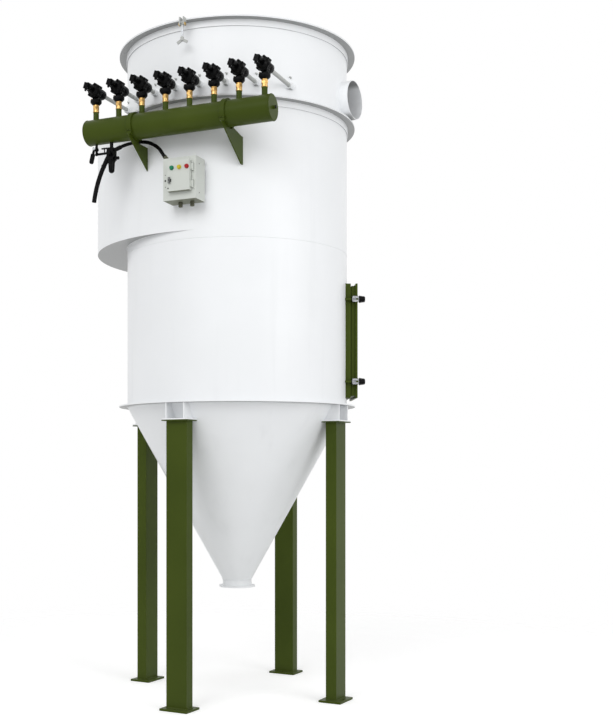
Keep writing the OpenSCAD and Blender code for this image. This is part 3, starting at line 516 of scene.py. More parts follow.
# %% Finish by slot
SLOT_FINISH = {"body_white": WHITE, "frame_green": OLIVE, "valve_black": CASTING, "brass": BRASS,
               "steel": ZINC, "tube_grey": TUBE_GREY, "box_grey": BOX_GREY, "hose_black": RUBBER,
               "lens_green": GREEN_LENS, "lens_yellow": YELLOW_LENS, "lens_red": RED_LENS}
NODE_FINISH = {"door_clamps": CHROME, "solenoids": PLASTIC, "air_unit": PLASTIC, "drain_lever": PLASTIC,
               "box_lock": LOCK_STEEL, "lid_clamp": TUBE_GREY, "cable_glands": GLAND, "box_hinges": BOX_GREY}
for name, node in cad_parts.items():
    slot_name = node.data.materials[0].name
    node.data.materials[0] = NODE_FINISH.get(name, SLOT_FINISH[slot_name.split(".")[0]])
print("nodes finished:", len(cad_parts))

# %% Eased edges
LEGS = ["leg_front", "leg_right", "leg_back", "leg_left"]
EASED = {0.006: LEGS,
         0.003: ["control_box", "box_door", "air_unit", "access_door"],
         0.002: ["foot_plates", "bottom_ring", "access_frame", "valve_covers", "inlet_nuts", "solenoids",
                 "pulse_valves"],
         0.0015: ["leg_caps", "ring_lugs", "header_brackets", "header_straps", "header_caps", "lid",
                  "top_flange", "upper_flange", "lower_flange", "lid_clamp", "drain_lever", "access_hinges",
                  "discharge_collar"]}


def ease(node, width):
    """Edge rounding by modifiers alone."""
    weld = node.modifiers.new("weld", "WELD")
    weld.merge_threshold = 1e-5
    flat = node.modifiers.new("flat", "DECIMATE")
    flat.decimate_type = "DISSOLVE"
    flat.angle_limit = math.radians(0.4)
    bevel = node.modifiers.new("bevel", "BEVEL")
    bevel.width = width
    bevel.segments = 2
    bevel.limit_method = "ANGLE"
    bevel.angle_limit = math.radians(40)
    even = node.modifiers.new("even", "WEIGHTED_NORMAL")
    even.keep_sharp = True


for width, names in EASED.items():
    for name in names:
        ease(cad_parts[name], width)
print("eased nodes:", sum(len(names) for names in EASED.values()))

# %% [markdown]
# ## From stock to piece
# A piece is one mesh that rides on one body of the frame. Faces are shaded smooth, edges sharper than a set
# angle stay crisp, and the normals are made to point outwards.

# %% Making a piece


def piece(name, stock, body, finish, crease=35.0):
    """Turn a stock into a finished piece on a body."""
    mesh = bpy.data.meshes.new(name)
    mesh.from_pydata([tuple(p) for p in stock.points], [], stock.faces)
    work = bmesh.new()
    work.from_mesh(mesh)
    bmesh.ops.recalc_face_normals(work, faces=work.faces)
    work.to_mesh(mesh)
    work.free()
    mesh.polygons.foreach_set("use_smooth", [True] * len(mesh.polygons))
    mesh.set_sharp_from_angle(angle=math.radians(crease))
    mesh.materials.append(finish)
    made = bpy.data.objects.new(name, mesh)
    scene.collection.objects.link(made)
    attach(made, body)
    print("piece", name, "on", body, "with", len(mesh.polygons), "faces")
    return made


print("piece: a stock becomes a mesh with a finish on a body")

# %% [markdown]
# ## The supply hose and the conduit
# A rubber hose hangs from the filter regulator, and a ribbed conduit carries its cable over to the control
# box. Both could be curves with a bevel, but ribs and the open end need a mesh, so each is swept along the
# route's own points, smoothed by a spline that passes through all of them.

# %% Routes from the middle of the header's axis, in metres
HOSE_ROUTE = [(-0.545, -0.007, -0.219), (-0.554, -0.008, -0.236), (-0.563, -0.008, -0.253),
              (-0.571, -0.009, -0.270), (-0.579, -0.009, -0.288), (-0.586, -0.010, -0.306),
              (-0.593, -0.010, -0.324), (-0.599, -0.011, -0.342), (-0.605, -0.011, -0.361),
              (-0.610, -0.012, -0.380), (-0.615, -0.012, -0.399), (-0.619, -0.013, -0.418),
              (-0.623, -0.013, -0.438), (-0.626, -0.014, -0.457), (-0.629, -0.014, -0.477)]
CONDUIT_ROUTE = [(-0.452, 0.022, -0.117), (-0.430, 0.033, -0.1047), (-0.406, 0.046, -0.094),
                 (-0.381, 0.059, -0.086), (-0.354, 0.070, -0.081), (-0.325, 0.077, -0.0795),
                 (-0.296, 0.079, -0.082), (-0.267, 0.076, -0.089), (-0.239, 0.069, -0.100),
                 (-0.213, 0.060, -0.114), (-0.189, 0.050, -0.129), (-0.167, 0.040, -0.145),
                 (-0.147, 0.030, -0.163), (-0.130, 0.021, -0.183), (-0.114, 0.016, -0.205),
                 (-0.100, 0.016, -0.222)]


def placed(route):
    """A route in the frame's own directions."""
    return [gear(u, HEADER_V - y, HEADER_Z + z) for u, y, z in route]


def smoothed(path, parts):
    """More points on a spline through the path's points."""
    ends = [path[0] * 2 - path[1], *path, path[-1] * 2 - path[-2]]
    points = []
    for a, b, c, d in zip(ends, ends[1:], ends[2:], ends[3:]):
        for i in range(parts):
            t = i / parts
            points.append(((b * 2) + (c - a) * t + (a * 2 - b * 5 + c * 4 - d) * t * t
                           + (b * 3 - a - c * 3 + d) * t ** 3) / 2)
    return points + [path[-1]]


def run_of(path):
    return sum((b - a).length for a, b in zip(path, path[1:]))


hose_path = smoothed(placed(HOSE_ROUTE), 4)
conduit_path = smoothed(placed(CONDUIT_ROUTE), 4)
print("routes: hose", round(run_of(hose_path), 4), "m, conduit", round(run_of(conduit_path), 4), "m")

# %% Hose with its open end, and conduit with its ribs
HOSE_D, HOSE_LEN = 0.030, 0.272
CONDUIT_D, CONDUIT_LEN = 0.024, 0.432
RIB_STEP, RIB_ROOT = 0.0025, 0.88
hose_stock = Stock()
hose_stock.swept(hose_path[:-1], [HOSE_D / 2] * (len(hose_path) - 1), 24)
LIP = [(-0.006, 0.62), (-0.006, 1.02), (-0.001, 1.02), (0.0, 0.97), (0.0, 0.62)]
hose_stock.turned([(height, share * HOSE_D / 2) for height, share in LIP], hose_path[-1],
                  hose_path[-1] - hose_path[-3], 24, ring=True)
hose = piece("supply_hose_rubber", hose_stock, "vessel", RUBBER)
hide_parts("supply_hose")
ribbed_path = evenly(smoothed(placed(CONDUIT_ROUTE), 12), RIB_STEP, False)
rib_radii = [CONDUIT_D / 2 * (1.0 if i % 2 else RIB_ROOT) for i in range(len(ribbed_path))]
conduit_stock = Stock()
conduit_stock.swept(ribbed_path, rib_radii, 20)
conduit = piece("box_conduit_ribbed", conduit_stock, "vessel", PLASTIC, 80.0)
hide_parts("box_conduit")

# %% [markdown]
# ## Welds on the vessel
# The vessel is rolled plate, and where two plates meet the real plant has a fillet weld under its paint. It
# could be a dark line in the paint, but a line catches no light. Each weld is swept as a bead with small
# ripples along the joint, and pipes get theirs where their outline meets the round wall.

# %% Girth welds


def girth(z, radius, start=0.0, end=360.0):
    """Points round the vessel, in degrees from the front towards the right."""
    return circle(Vector((0, 0, z)), UP, radius, start, end, 360)


ring_low, ring_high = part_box("bottom_ring")
white_welds = Stock()
CONE_FOOT_R = 0.106
plenum_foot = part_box("plenum_shell")[0].z
for z, out in ((ring_high.z, PROUD), (ring_low.z - PROUD, 0.0), (plenum_foot, PROUD)):
    bead(white_welds, girth(z, SHELL_R + out), FILLET)
for flange in ("lower_flange", "top_flange"):
    bead(white_welds, girth(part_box(flange)[0].z, SHELL_R + 3 * PROUD), FILLET)
bead(white_welds, girth(shell_low.z, SHELL_R - PROUD), FINE)
bead(white_welds, girth(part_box("hopper_cone")[0].z, CONE_FOOT_R), SEAM)
print("girth welds:", len(white_welds.points), "points")

# %% Pipe saddles on the round wall


def on_drum(point, direction):
    """Where a level line from a point meets the vessel's wall."""
    toward = point.xy.dot(direction.xy)
    return point + direction * (math.sqrt(toward ** 2 - point.xy.length_squared + SHELL_R ** 2) - toward)


RIGHT = Vector((1, 0, 0))
outlet_low, outlet_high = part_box("outlet_spigot")
outlet_mid = (outlet_low + outlet_high) / 2 * Vector((0, 1, 1))
outlet_r = (outlet_high.z - outlet_low.z) / 2
bead(white_welds, [on_drum(p, RIGHT) for p in circle(outlet_mid, RIGHT, outlet_r + PROUD)], FILLET)
bush = solids("tube_bushes")[0]
bush_r = (bush.high.z - bush.low.z) / 2
for u in VALVE_US:
    bead(white_welds, [on_drum(p, OUT) for p in circle(gear(u, 0, TUBE_Z), OUT, bush_r)], FINE)
inlet_low, inlet_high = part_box("inlet_spigot")
inlet_mid = (inlet_low + inlet_high) / 2
inlet_mid.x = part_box("scroll_end")[1].x
bead(white_welds, circle(inlet_mid, RIGHT, (inlet_high.z - inlet_low.z) / 2), FILLET)
print("saddles:", 2 + len(VALVE_US))

# %% Scroll welds and the fairing where the scroll leaves the wall
wall_low, wall_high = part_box("scroll_wall")
SCROLL_R = (wall_high.y - wall_low.y) / 2
scroll_eye = Vector((wall_low.x + SCROLL_R, wall_low.y + SCROLL_R, 0))
scroll_low, scroll_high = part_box("scroll_floor")[0].z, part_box("scroll_roof")[1].z
WALL_ARC, SCROLL_ARC = (-1.0, -178.0), (2.0, -185.0)
EDGE_SUNK, FAIRING_IN = 0.0016, 0.0005
for z in (scroll_low, scroll_high):
    bead(white_welds, girth(z, SHELL_R + PROUD, *WALL_ARC), FILLET, False)
for z in (wall_low.z, wall_high.z):
    edge = circle(scroll_eye + UP * z, UP, SCROLL_R - EDGE_SUNK, *SCROLL_ARC, 360)
    bead(white_welds, edge, HAIR, False)
fairing = Stock()
FAIRING = [(3.4, 0.0032), (4.1, 0.0036), (5.2, 0.0026), (6.6, 0.0014), (8.4, 0.0004), (10.0, -0.0004)]
lines = [[girth(z, SHELL_R + rise, bearing, bearing + 1)[0] for bearing, rise in FAIRING]
         for z in (scroll_low + FAIRING_IN, scroll_high - FAIRING_IN)]
fairing.hulled(lines[0] + lines[1])
piece("scroll_fairing", fairing, "vessel", WHITE, 60.0)
piece("vessel_welds", white_welds, "vessel", WHITE, 80.0)

# %% [markdown]
# ## Welds on the green steelwork
# The legs stand on foot plates with a bold fillet that shows in the photograph, and the header, its stubs and
# the door frame are welded too. The leg beads follow the tube's rounded outline, so they need its corner
# radius; a bead along the sharp box would stand off the corners.

# %% Green beads
CORNER = 0.008


def outline(low, high, z):
    """A rounded rectangle round a box at one height."""
    points = []
    for x, y, turn in ((high.x, high.y, 0), (low.x, high.y, 90), (low.x, low.y, 180), (high.x, low.y, 270)):
        middle = Vector((x - math.copysign(CORNER, x - (low.x + high.x) / 2),
                         y - math.copysign(CORNER, y - (low.y + high.y) / 2), z))
        for k in range(5):
            t = math.radians(turn + 22.5 * k)
            points.append(middle + Vector((math.cos(t), math.sin(t), 0)) * CORNER)
    return points


green_welds = Stock()
for leg in LEGS:
    low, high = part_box(leg)
    bead(green_welds, outline(low, high, low.z + PROUD), BOLD)
    bead(green_welds, outline(low, high, high.z), SEAM)
header_end = max(abs(x) for x in header.reach(ALONG))
for end in (-header_end, header_end):
    bead(green_welds, circle(gear(end, HEADER_V, HEADER_Z), ALONG, HEADER_R - PROUD), SEAM)
stub = solids("header_stubs")[0]
stub_r = (stub.reach(ALONG)[1] - stub.reach(ALONG)[0]) / 2
turns = np.linspace(0, TURN, 48, endpoint=False)
rim = [(stub_r * math.cos(t), stub_r * math.sin(t)) for t in turns]
saddle = [(a, b, math.sqrt(HEADER_R ** 2 - b * b)) for a, b in rim]
for u in VALVE_US:
    bead(green_welds, [gear(u + a, HEADER_V + b, HEADER_Z + up) for a, b, up in saddle], SEAM)
print("green beads:", len(green_welds.points), "points")

# %% Bead round the access door's frame
door_frame = solids("access_frame")[0]
DOOR_BEARING = math.radians(120)
DOOR_OUT = Vector((math.sin(DOOR_BEARING), -math.cos(DOOR_BEARING), 0))
DOOR_ALONG = UP.cross(DOOR_OUT)


def on_side(w, v, z):
    """A point in the access door's directions: along it, out from the vessel's axis, and up."""
    return DOOR_ALONG * w + DOOR_OUT * v + UP * z


half_w = min(abs(x) for x in door_frame.reach(DOOR_ALONG))
low_z, high_z = door_frame.low.z, door_frame.high.z
widths = np.linspace(-half_w, half_w, 25)
lower = [on_side(w, math.sqrt(SHELL_R ** 2 - w * w), low_z) for w in widths]
upper = [on_side(w, math.sqrt(SHELL_R ** 2 - w * w), high_z) for w in widths[::-1]]
bead(green_welds, lower + upper, FILLET)
piece("frame_welds", green_welds, "vessel", OLIVE, 80.0)

# %% [markdown]
# ## The pulse valves close up
# Each valve is a casting with a diaphragm between two lobed flanges, held by eight screws, and with ribbed
# union nuts on its inlet and outlet. The screws, ribs and threads are too small for the construction, so they
# are made here, all eight valves at once, from the row's own places.

# %% Cover screws and ribs
LOBE_FRONT, LOBE_RING, LOBE_FIRST, LOBES = 0.035, 0.043, 34.0, 8
DOME, RIB_DEEP, RIB_HALF = ((0.033, 0.0385), (0.0535, 0.0235)), 0.005, 0.1
GASKET, GASKET_OUT = [(0, 0.037), (0, 0.0415), (0.003, 0.0415), (0.003, 0.037)], 0.016


def round_valve(u, v, radius, degrees):
    """A point on a circle round a valve's axis, from the row's direction towards up."""
    t = math.radians(degrees)
    return gear(u + radius * math.cos(t), v, TUBE_Z + radius * math.sin(t))


screws, ribs, gaskets = Stock(), Stock(), Stock()
for u in VALVE_US:
    for i in range(LOBES):
        angle = LOBE_FIRST + 360 / LOBES * i
        place = round_valve(u, HEADER_V + LOBE_FRONT, LOBE_RING, angle)
        hex_head(screws, place, OUT, flats=0.0085, height=0.0045, washer=0.0012)
        ribs.hulled([round_valve(u, HEADER_V + s, r - drop, angle + 180 / LOBES + side / r)
                     for s, r in DOME for drop in (0.0, RIB_DEEP) for side in (-RIB_HALF, RIB_HALF)])
    # The diaphragm's edge is a real part, but its pale grey is a painted highlight: it stands in for the
    # bright crescent of light on the rim between cover and flange.
    gaskets.turned(GASKET, gear(u, HEADER_V + GASKET_OUT, TUBE_Z), OUT, 48, ring=True)
piece("cover_screws", screws, "vessel", PLASTIC)
piece("cover_ribs", ribs, "vessel", CASTING, 50.0)
piece("valve_diaphragms_painted_highlight", gaskets, "vessel", PALE_RUBBER_HIGHLIGHT)

# %% Ribbed union nuts, threads and lock screws
nut = solids("inlet_nuts")[0]
NUT_TOP, NUT_R = nut.high.z, (nut.reach(ALONG)[1] - nut.reach(ALONG)[0]) / 2
INLET_GRIP = [(0, NUT_R * 0.98), (0.002, NUT_R * 1.02), (0.018, NUT_R * 1.02), (0.020, NUT_R * 0.98)]
OUTLET_GRIP = [(0, 0.0325), (0.002, 0.0338), (0.036, 0.0338), (0.038, 0.0325)]
INLET_DROP, OUTLET_BACK, FLUTES, FLUTE_DEEP = 0.021, 0.080, 12, 0.02
SCREW_LEFT, SCREW_OUT = 0.025, 0.014
THREAD_TURN = [(-0.0012, 0.0185), (0, 0.0205), (0.0012, 0.0185)]
THREAD_DROPS = (0.0375, 0.0405, 0.0435)
grips, threads = Stock(), Stock()
for u in VALVE_US:
    grips.turned(INLET_GRIP, gear(u, HEADER_V, NUT_TOP - INLET_DROP), UP, 96, FLUTES, FLUTE_DEEP)
    grips.turned(OUTLET_GRIP, gear(u, HEADER_V - OUTLET_BACK, TUBE_Z), OUT, 96, FLUTES, FLUTE_DEEP)
    for drop in THREAD_DROPS:
        threads.turned(THREAD_TURN, gear(u, HEADER_V, NUT_TOP - drop), UP, 32)
    place = gear(u - SCREW_LEFT, HEADER_V + SCREW_OUT, NUT_TOP)
    hex_head(threads, place, UP, flats=0.012, height=0.008)
piece("union_grips", grips, "vessel", CASTING, 60.0)
piece("union_threads", threads, "vessel", BRASS)

# %% Pilot plugs: gland and centre screw
PILOT_GLAND = [(-0.001, 0.0085), (0.006, 0.0085), (0.0065, 0.0068), (0.013, 0.0062), (0.014, 0.005)]
GLAND_AT, GLAND_WAY = (-0.0149, 0.107, -0.0113), (-0.342, 0.0, -0.94)
SCREW_AT, SCREW_R = (-0.0077, 0.122, 0.0084), 0.0045
glands, plug_screws = Stock(), Stock()
for u in VALVE_US:
    middle = gear(u, HEADER_V, TUBE_Z)
    glands.turned(PILOT_GLAND, middle + gear(*GLAND_AT), gear(*GLAND_WAY), 20)
    dome_head(plug_screws, middle + gear(*SCREW_AT), OUT, SCREW_R)
piece("pilot_glands", glands, "vessel", PLASTIC)
piece("pilot_screws", plug_screws, "vessel", PLASTIC)

# %% Studs on the plenum above the blow tubes
STUD, STUD_UP = [(0, 0.004), (0.019, 0.004), (0.020, 0.003)], 0.058
studs = Stock()
for u in VALVE_US:
    foot = on_drum(gear(u, 0, TUBE_Z + STUD_UP), OUT)
    hex_head(studs, foot, OUT, flats=0.009, height=0.005, washer=0.001)
    studs.turned(STUD, foot, OUT, 16)
piece("plenum_studs", studs, "vessel", TUBE_GREY)

# %% [markdown]
# ## Fixings of the header and the lid
# Two straps hold the header down on its brackets, with a pair of screws through each ear, and the caps carry
# hexagon plugs. The lid is held by a swing bolt between two ears, with plated bosses and a wing nut. Screw
# heads look alike everywhere, so one routine makes them, and only their places differ.

# %% Strap screws and header plugs
EAR_IN, EAR_DROP, EAR_HALF = 0.013, 0.048, 0.009
PLUG_SUNK = 0.003
strap_screws, plugs = Stock(), Stock()
for strap in solids("header_straps"):
    u = sum(strap.reach(ALONG)) / 2
    tip = strap.reach(OUT)[1]
    for side in (-EAR_HALF, EAR_HALF):
        place = gear(u + side, tip - EAR_IN, HEADER_Z - EAR_DROP)
        hex_head(strap_screws, place, UP, flats=0.0125, height=0.007, washer=0.002)
for cap in solids("header_caps"):
    end = max(cap.reach(ALONG), key=abs)
    axis = ALONG * math.copysign(1, end)
    foot = gear(end, HEADER_V, HEADER_Z) - axis * PLUG_SUNK
    hex_head(plugs, foot, axis, flats=0.019, height=0.009)
piece("strap_screws", strap_screws, "vessel", OLIVE)
piece("header_plugs", plugs, "vessel", CASTING)

# %% Lid clamp: bosses, thread and wing nut
clamp = solids("lid_clamp")[0]
CLAMP_V, EAR_OUT, PIVOT_DROP, NUT_DROP = 0.879, 0.0182, 0.045, 0.150
PITCH, ROOT_R, CREST_R, WING_NUT_R = 0.0015, 0.0062, 0.0068, 0.012
THREAD_LOW, THREAD_HIGH = 0.024, 0.008
BOSS = [(0, 0.0118), (0.004, 0.0118), (0.0058, 0.0102), (0.0058, 0.0045), (0.0085, 0.004)]
clamp_u = sum(clamp.reach(ALONG)) / 2
pivot_z, nut_z = clamp.high.z - PIVOT_DROP, clamp.high.z - NUT_DROP
bosses, thread = Stock(), Stock()
for side in (-1, 1):
    bosses.turned(BOSS, gear(clamp_u + side * EAR_OUT, CLAMP_V, pivot_z), ALONG * side, 28)
thread_zs = np.arange(nut_z + THREAD_LOW, pivot_z - THREAD_HIGH, PITCH)
thread_radii = [ROOT_R if i % 2 else CREST_R for i in range(len(thread_zs))]
thread.swept([gear(clamp_u, CLAMP_V, z) for z in thread_zs], thread_radii, 16)
dome_head(thread, gear(clamp_u, CLAMP_V, nut_z), -UP, WING_NUT_R)
piece("clamp_bosses", bosses, "vessel", YELLOW_ZINC)
piece("clamp_thread", thread, "vessel", ZINC, 80.0)

# %% [markdown]
# ## The control box
# A small powder-coated box with a door that carries three pilot lights and a swing lock. Close up it shows
# a ring and a keyhole at the lock, a rubber seal behind the door, and a few plugs in its front. What sits on
# the door has to ride on the door, so those pieces go to that body and the rest stays on the vessel.

# %% Ring and keyhole of the lock, and the key's cap
box_solid, door_solid = solids("control_box")[0], solids("box_door")[0]
BOX_FRONT = box_solid.reach(OUT)[1]
DOOR_FRONT = door_solid.reach(OUT)[1]
LOCK_RING = [(0, 0.0095), (0, 0.0132), (0.002, 0.0132), (0.0032, 0.0120), (0.0032, 0.0095)]
KEYHOLE = [(-0.001, 0.0032), (0.0004, 0.0032), (0.0006, 0.0026)]
KEY_CAP_R, KEY_CAP_SUNK = 0.0042, 0.0005
rings, keyhole = Stock(), Stock()
lock = max(solids("box_lock"), key=lambda s: s.high.z)
key = min(solids("box_lock"), key=lambda s: s.high.z)
lock_u, key_u = sum(lock.reach(ALONG)) / 2, sum(key.reach(ALONG)) / 2
rings.turned(LOCK_RING, gear(lock_u, DOOR_FRONT, lock.centre.z), OUT, 32, ring=True)
keyhole.turned(KEYHOLE, gear(lock_u, lock.reach(OUT)[1], lock.centre.z), OUT, 16)
dome_head(keyhole, gear(key_u, key.reach(OUT)[1] - KEY_CAP_SUNK, key.centre.z), OUT, KEY_CAP_R)
piece("lock_ring", rings, "box_door", PLASTIC)
piece("lock_keyhole", keyhole, "box_door", PLASTIC)

# %% Seal and plugs on the box
SEAL_IN, SEAL_R = 0.006, 0.0022
DOOR_W = 0.162


def sealed(place, out, low_a, high_a, low_b, high_b, step):
    """A round seal along the four sides of a rectangle on a face."""
    corners = [(low_a, low_b), (high_a, low_b), (high_a, high_b), (low_a, high_b)]
    path = evenly([place(a, out + SEAL_R, b) for a, b in corners], step, True)
    stock = Stock()
    stock.swept(path, [SEAL_R] * len(path), 8, True)
    return stock


door_left = door_solid.reach(ALONG)[0]
seal = sealed(gear, BOX_FRONT, door_left + SEAL_IN, door_left + DOOR_W - SEAL_IN,
              door_solid.low.z + SEAL_IN, door_solid.high.z - SEAL_IN, 0.01)
piece("box_seal", seal, "vessel", RUBBER, 60.0)
FRONT_PLUG_U, FRONT_PLUGS = -0.090, ((3.518, 0.006), (3.556, 0.0028), (3.477, 0.0028))
SIDE_PLUG_IN, SIDE_PLUG_ZS, SIDE_PLUG_R = 0.05, (3.430, 3.620), 0.0035
box_plugs = Stock()
for z, radius in FRONT_PLUGS:
    dome_head(box_plugs, gear(FRONT_PLUG_U, BOX_FRONT, z), OUT, radius)
for z in SIDE_PLUG_ZS:
    place = gear(box_solid.reach(ALONG)[1], BOX_FRONT - SIDE_PLUG_IN, z)
    dome_head(box_plugs, place, ALONG, SIDE_PLUG_R)
piece("box_plugs", box_plugs, "vessel", PLASTIC)

# %% Gland nuts under the box
GLAND_NUT = [(-0.001, 0.0095), (0.001, 0.0135), (0.011, 0.0142), (0.013, 0.0130)]
TOUCH = 0.002
gland_nuts = Stock()
for gland in solids("cable_glands"):
    if gland.high.z < box_solid.low.z + TOUCH:
        foot = gland.centre + UP * (gland.low.z - gland.centre.z)
        gland_nuts.turned(GLAND_NUT, foot, UP, 72, 18, 0.03)
piece("gland_nuts", gland_nuts, "vessel", GLAND, 60.0)

# %% [markdown]
# ## The access door
# The door is pressed on its frame by two clamps with fluted hand knobs. The construction has plain knobs that
# mark their size; the visible ones replace them, and the seal and the chromed cheeks of the clamps are added.
# Flutes are a ripple in the radius of a turned shape.

# %% Knobs, clamp cheeks and seal of the access door
KNOB_FOOT = [(0, 0.0215), (0.003, 0.0250), (0.010, 0.0250), (0.014, 0.0232)]
KNOB_TIP = [(-0.006, 0.0205), (-0.002, 0.0186), (0, 0.0150), (0, 0)]
KNOB_FLUTES, KNOB_FLUTE_DEEP = 8, 0.05
CHEEK_W, CHEEK_H, CHEEK_UP, CHEEK_EASE = 0.047, 0.017, 0.0125, 0.003
knobs, cheeks = Stock(), Stock()
for knob in solids("door_knobs"):
    start, end = knob.reach(DOOR_OUT)
    foot = on_side(sum(knob.reach(DOOR_ALONG)) / 2, start, knob.centre.z)
    tip = [(end - start + height, radius) for height, radius in KNOB_TIP]
    knobs.turned(KNOB_FOOT + tip, foot, DOOR_OUT, 96, KNOB_FLUTES, KNOB_FLUTE_DEEP)
for sleeve in solids("door_clamps"):
    start, end = sleeve.reach(DOOR_OUT)
    middle = on_side(sum(sleeve.reach(DOOR_ALONG)) / 2, (start + end) / 2, sleeve.centre.z)
    for side in (-1, 1):
        cheeks.block(middle + UP * side * CHEEK_UP, [DOOR_OUT, DOOR_ALONG, UP],
                     (end - start - CHEEK_EASE, CHEEK_W, CHEEK_H), CHEEK_EASE)
made_knobs = piece("fluted_knobs", knobs, "access_door", PLASTIC, 50.0)
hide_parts("door_knobs")
piece("clamp_cheeks", cheeks, "access_door", CHROME, 30.0)
FRAME_FACE, FRAME_SEAL_IN = door_frame.reach(DOOR_OUT)[1], 0.024
seal_w = half_w - FRAME_SEAL_IN
seal = sealed(on_side, FRAME_FACE, -seal_w, seal_w, low_z + FRAME_SEAL_IN, high_z - FRAME_SEAL_IN, 0.02)
piece("access_seal", seal, "vessel", RUBBER, 60.0)

# %% [markdown]
# ## The air supply
# Below the header's left end sit a ball valve and a filter regulator. Its adjusting knob is ribbed, the bowl
# is held by a ring with grips, and the hose has a clip. All are turned shapes along the axis of what they
# hold, so the clip follows the hose's own direction.

# %% Regulator knob, bowl ring, conduit boots and hose clip
UNIT_U, UNIT_Z, UNIT_FRONT, BOWL_TOP_Z = -0.500, 3.7412, 0.027, 3.6997
UNIT_KNOB = [(0, 0.0150), (0.001, 0.0166), (0.016, 0.0166), (0.0185, 0.0150)]
BOWL_RING = [(-0.012, 0.0245), (-0.011, 0.0262), (-0.002, 0.0262), (-0.001, 0.0245)]
BOOT = [(-0.024, 0.0128), (-0.022, 0.0136), (0.010, 0.0136), (0.012, 0.0125)]
unit_rings, clips = Stock(), Stock()
unit_rings.turned(UNIT_KNOB, gear(UNIT_U, HEADER_V + UNIT_FRONT, UNIT_Z), OUT, 90, 18, 0.035)
unit_rings.turned(BOWL_RING, gear(UNIT_U, HEADER_V, BOWL_TOP_Z), UP, 96, 12, 0.03)
for path in (conduit_path, conduit_path[::-1]):
    heading = (path[3] - path[0]).normalized()
    unit_rings.turned(BOOT, path[0], heading, 60, 10, 0.03)
piece("unit_rings", unit_rings, "vessel", PLASTIC, 60.0)
CLIP_W, CLIP_IN, CLIP_OUT = 0.009, HOSE_D / 2 - 0.0005, HOSE_D / 2 + 0.0014
CLIP_BAND = [(0, CLIP_IN), (0, CLIP_OUT), (CLIP_W, CLIP_OUT), (CLIP_W, CLIP_IN)]
LUG, LUG_OUT, LUG_EASE = (0.010, 0.006, 0.014), HOSE_D / 2 + 0.004, 0.001
clip_foot = hose_path[4]
heading = (hose_path[8] - clip_foot).normalized()
clips.turned(CLIP_BAND, clip_foot, heading, 40, ring=True)
clip_side = (OUT - heading * OUT.dot(heading)).normalized()
clips.block(clip_foot + heading * CLIP_W / 2 + clip_side * LUG_OUT,
            [heading, clip_side, heading.cross(clip_side)], LUG, LUG_EASE)
piece("hose_clip", clips, "vessel", PLASTIC)

# %% Nut on the drain lever
lever = solids("drain_lever")[0]
LEVER_U, LEVER_Z, NUT_SUNK = -0.617, 3.7847, 0.0005
lever_nut = Stock()
place = gear(LEVER_U, lever.reach(OUT)[1] - NUT_SUNK, LEVER_Z)
hex_head(lever_nut, place, OUT, flats=0.011, height=0.005, washer=0.0012)
piece("lever_nut", lever_nut, "drain_lever", ZINC)

# %% [markdown]
# ## Light and floor
# The filter stands before plain white, lit softly from above its front and from the right. The white could
# come from more light, but that would bleach the paint. It comes from the world as the camera sees it, while
# diffuse rays get a dimmer sky with a darker lower half, so undersides turn grey. The floor keeps a soft
# shadow and fades out before its edge shows.

# %% Studio
SKY, GROUND = 0.72, 0.64
KEY_WATTS, KEY_SIZE, KEY_PLACE = 215.0, 4.5, Vector((0.5, -8.5, 7.5))
FILL_WATTS, FILL_SIZE, FILL_PLACE = 125.0, 4.0, Vector((7.5, -2.0, 4.5))
AIM = Vector((0.0, 0.0, 2.4))


def lamp(name, watts, size, place):
    """A large square lamp that faces the filter."""
    data = bpy.data.lights.new(name, "AREA")
    data.energy = watts
    data.size = size
    made = bpy.data.objects.new(name, data)
    made.location = place
    made.rotation_mode = "QUATERNION"
    made.rotation_quaternion = (AIM - place).to_track_quat("-Z", "Y")
    scene.collection.objects.link(made)


lamp("key_lamp", KEY_WATTS, KEY_SIZE, KEY_PLACE)
lamp("fill_lamp", FILL_WATTS, FILL_SIZE, FILL_PLACE)


class Stage(Finish):
    """Nodes of the world or of a floor, which start empty."""

    def __init__(self, owner):
        owner.use_nodes = True
        self.tree = owner.node_tree
        self.tree.nodes.clear()

    def seen(self):
        """1 for rays that show the background itself."""
        ray = self.node("ShaderNodeLightPath").socket.node
        kinds = ("Is Camera Ray", "Is Glossy Ray", "Is Transmission Ray")
        camera_ray, glossy, through = [Wire(self, ray.outputs[kind]) for kind in kinds]
        return through.maths("MAXIMUM", camera_ray.maths("MAXIMUM", camera_ray, glossy), through)


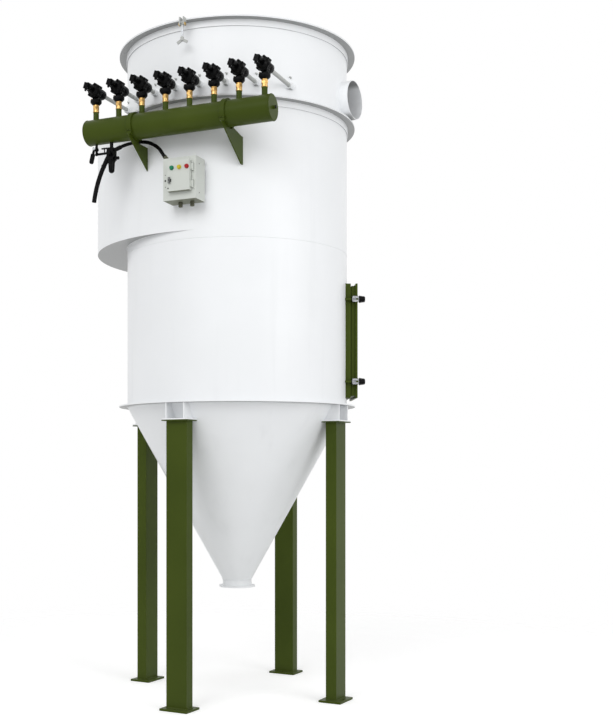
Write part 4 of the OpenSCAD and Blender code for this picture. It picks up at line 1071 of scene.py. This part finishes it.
world = bpy.data.worlds.new("studio")
scene.world = world
sky = Stage(world)
direction = sky.node("ShaderNodeTexCoord", output="Generated")
height = sky.node("ShaderNodeSeparateXYZ", {}, {0: direction}, output=2).rise(-0.25, 0.35)
strength = GROUND + height * (SKY - GROUND)
soft = sky.node("ShaderNodeBackground", {}, {"Color": (1, 1, 1, 1), "Strength": strength})
plain = sky.node("ShaderNodeBackground", {}, {"Color": (1, 1, 1, 1), "Strength": 1.0})
both = sky.node("ShaderNodeMixShader", {}, {0: sky.seen(), 1: soft, 2: plain})
sky.feed(sky.tree.nodes.new("ShaderNodeOutputWorld"), {"Surface": both})
print("world: sky", SKY, "ground", GROUND)

# %% Floor that fades out
FLOOR_R, FADE_FROM, FADE_TO = 9.0, 2.2, 5.5
FLOOR_GLOW = 0.26
floor_rim = circle(Vector((0, 0, 0)), UP, FLOOR_R, count=96)
floor_mesh = bpy.data.meshes.new("studio_floor")
floor_mesh.from_pydata([tuple(p) for p in floor_rim], [], [list(range(len(floor_rim)))])
floor_finish = bpy.data.materials.new("studio_floor")
pale = Stage(floor_finish)
away = pale.node("ShaderNodeVectorMath", {"operation": "LENGTH"},
                 {0: pale.node("ShaderNodeTexCoord", output="Object")}, output=1)
matt = pale.node("ShaderNodeBsdfDiffuse", {}, {"Color": tone(250, 250, 250)})
glow = pale.node("ShaderNodeEmission", {}, {"Color": (1, 1, 1, 1), "Strength": FLOOR_GLOW})
lit = pale.node("ShaderNodeAddShader", {}, {0: matt, 1: glow})
dim = pale.node("ShaderNodeBsdfDiffuse", {}, {"Color": tone(238, 238, 238)})
clear = pale.node("ShaderNodeBsdfTransparent")
shown = pale.node("ShaderNodeMixShader", {}, {0: pale.seen(), 1: dim, 2: lit})
faded = pale.node("ShaderNodeMixShader", {}, {0: away.rise(FADE_FROM, FADE_TO), 1: shown, 2: clear})
pale.feed(pale.tree.nodes.new("ShaderNodeOutputMaterial"), {"Surface": faded})
floor_mesh.materials.append(floor_finish)
floor = bpy.data.objects.new("studio_floor", floor_mesh)
scene.collection.objects.link(floor)
print("floor: fades out between", FADE_FROM, "and", FADE_TO, "m")
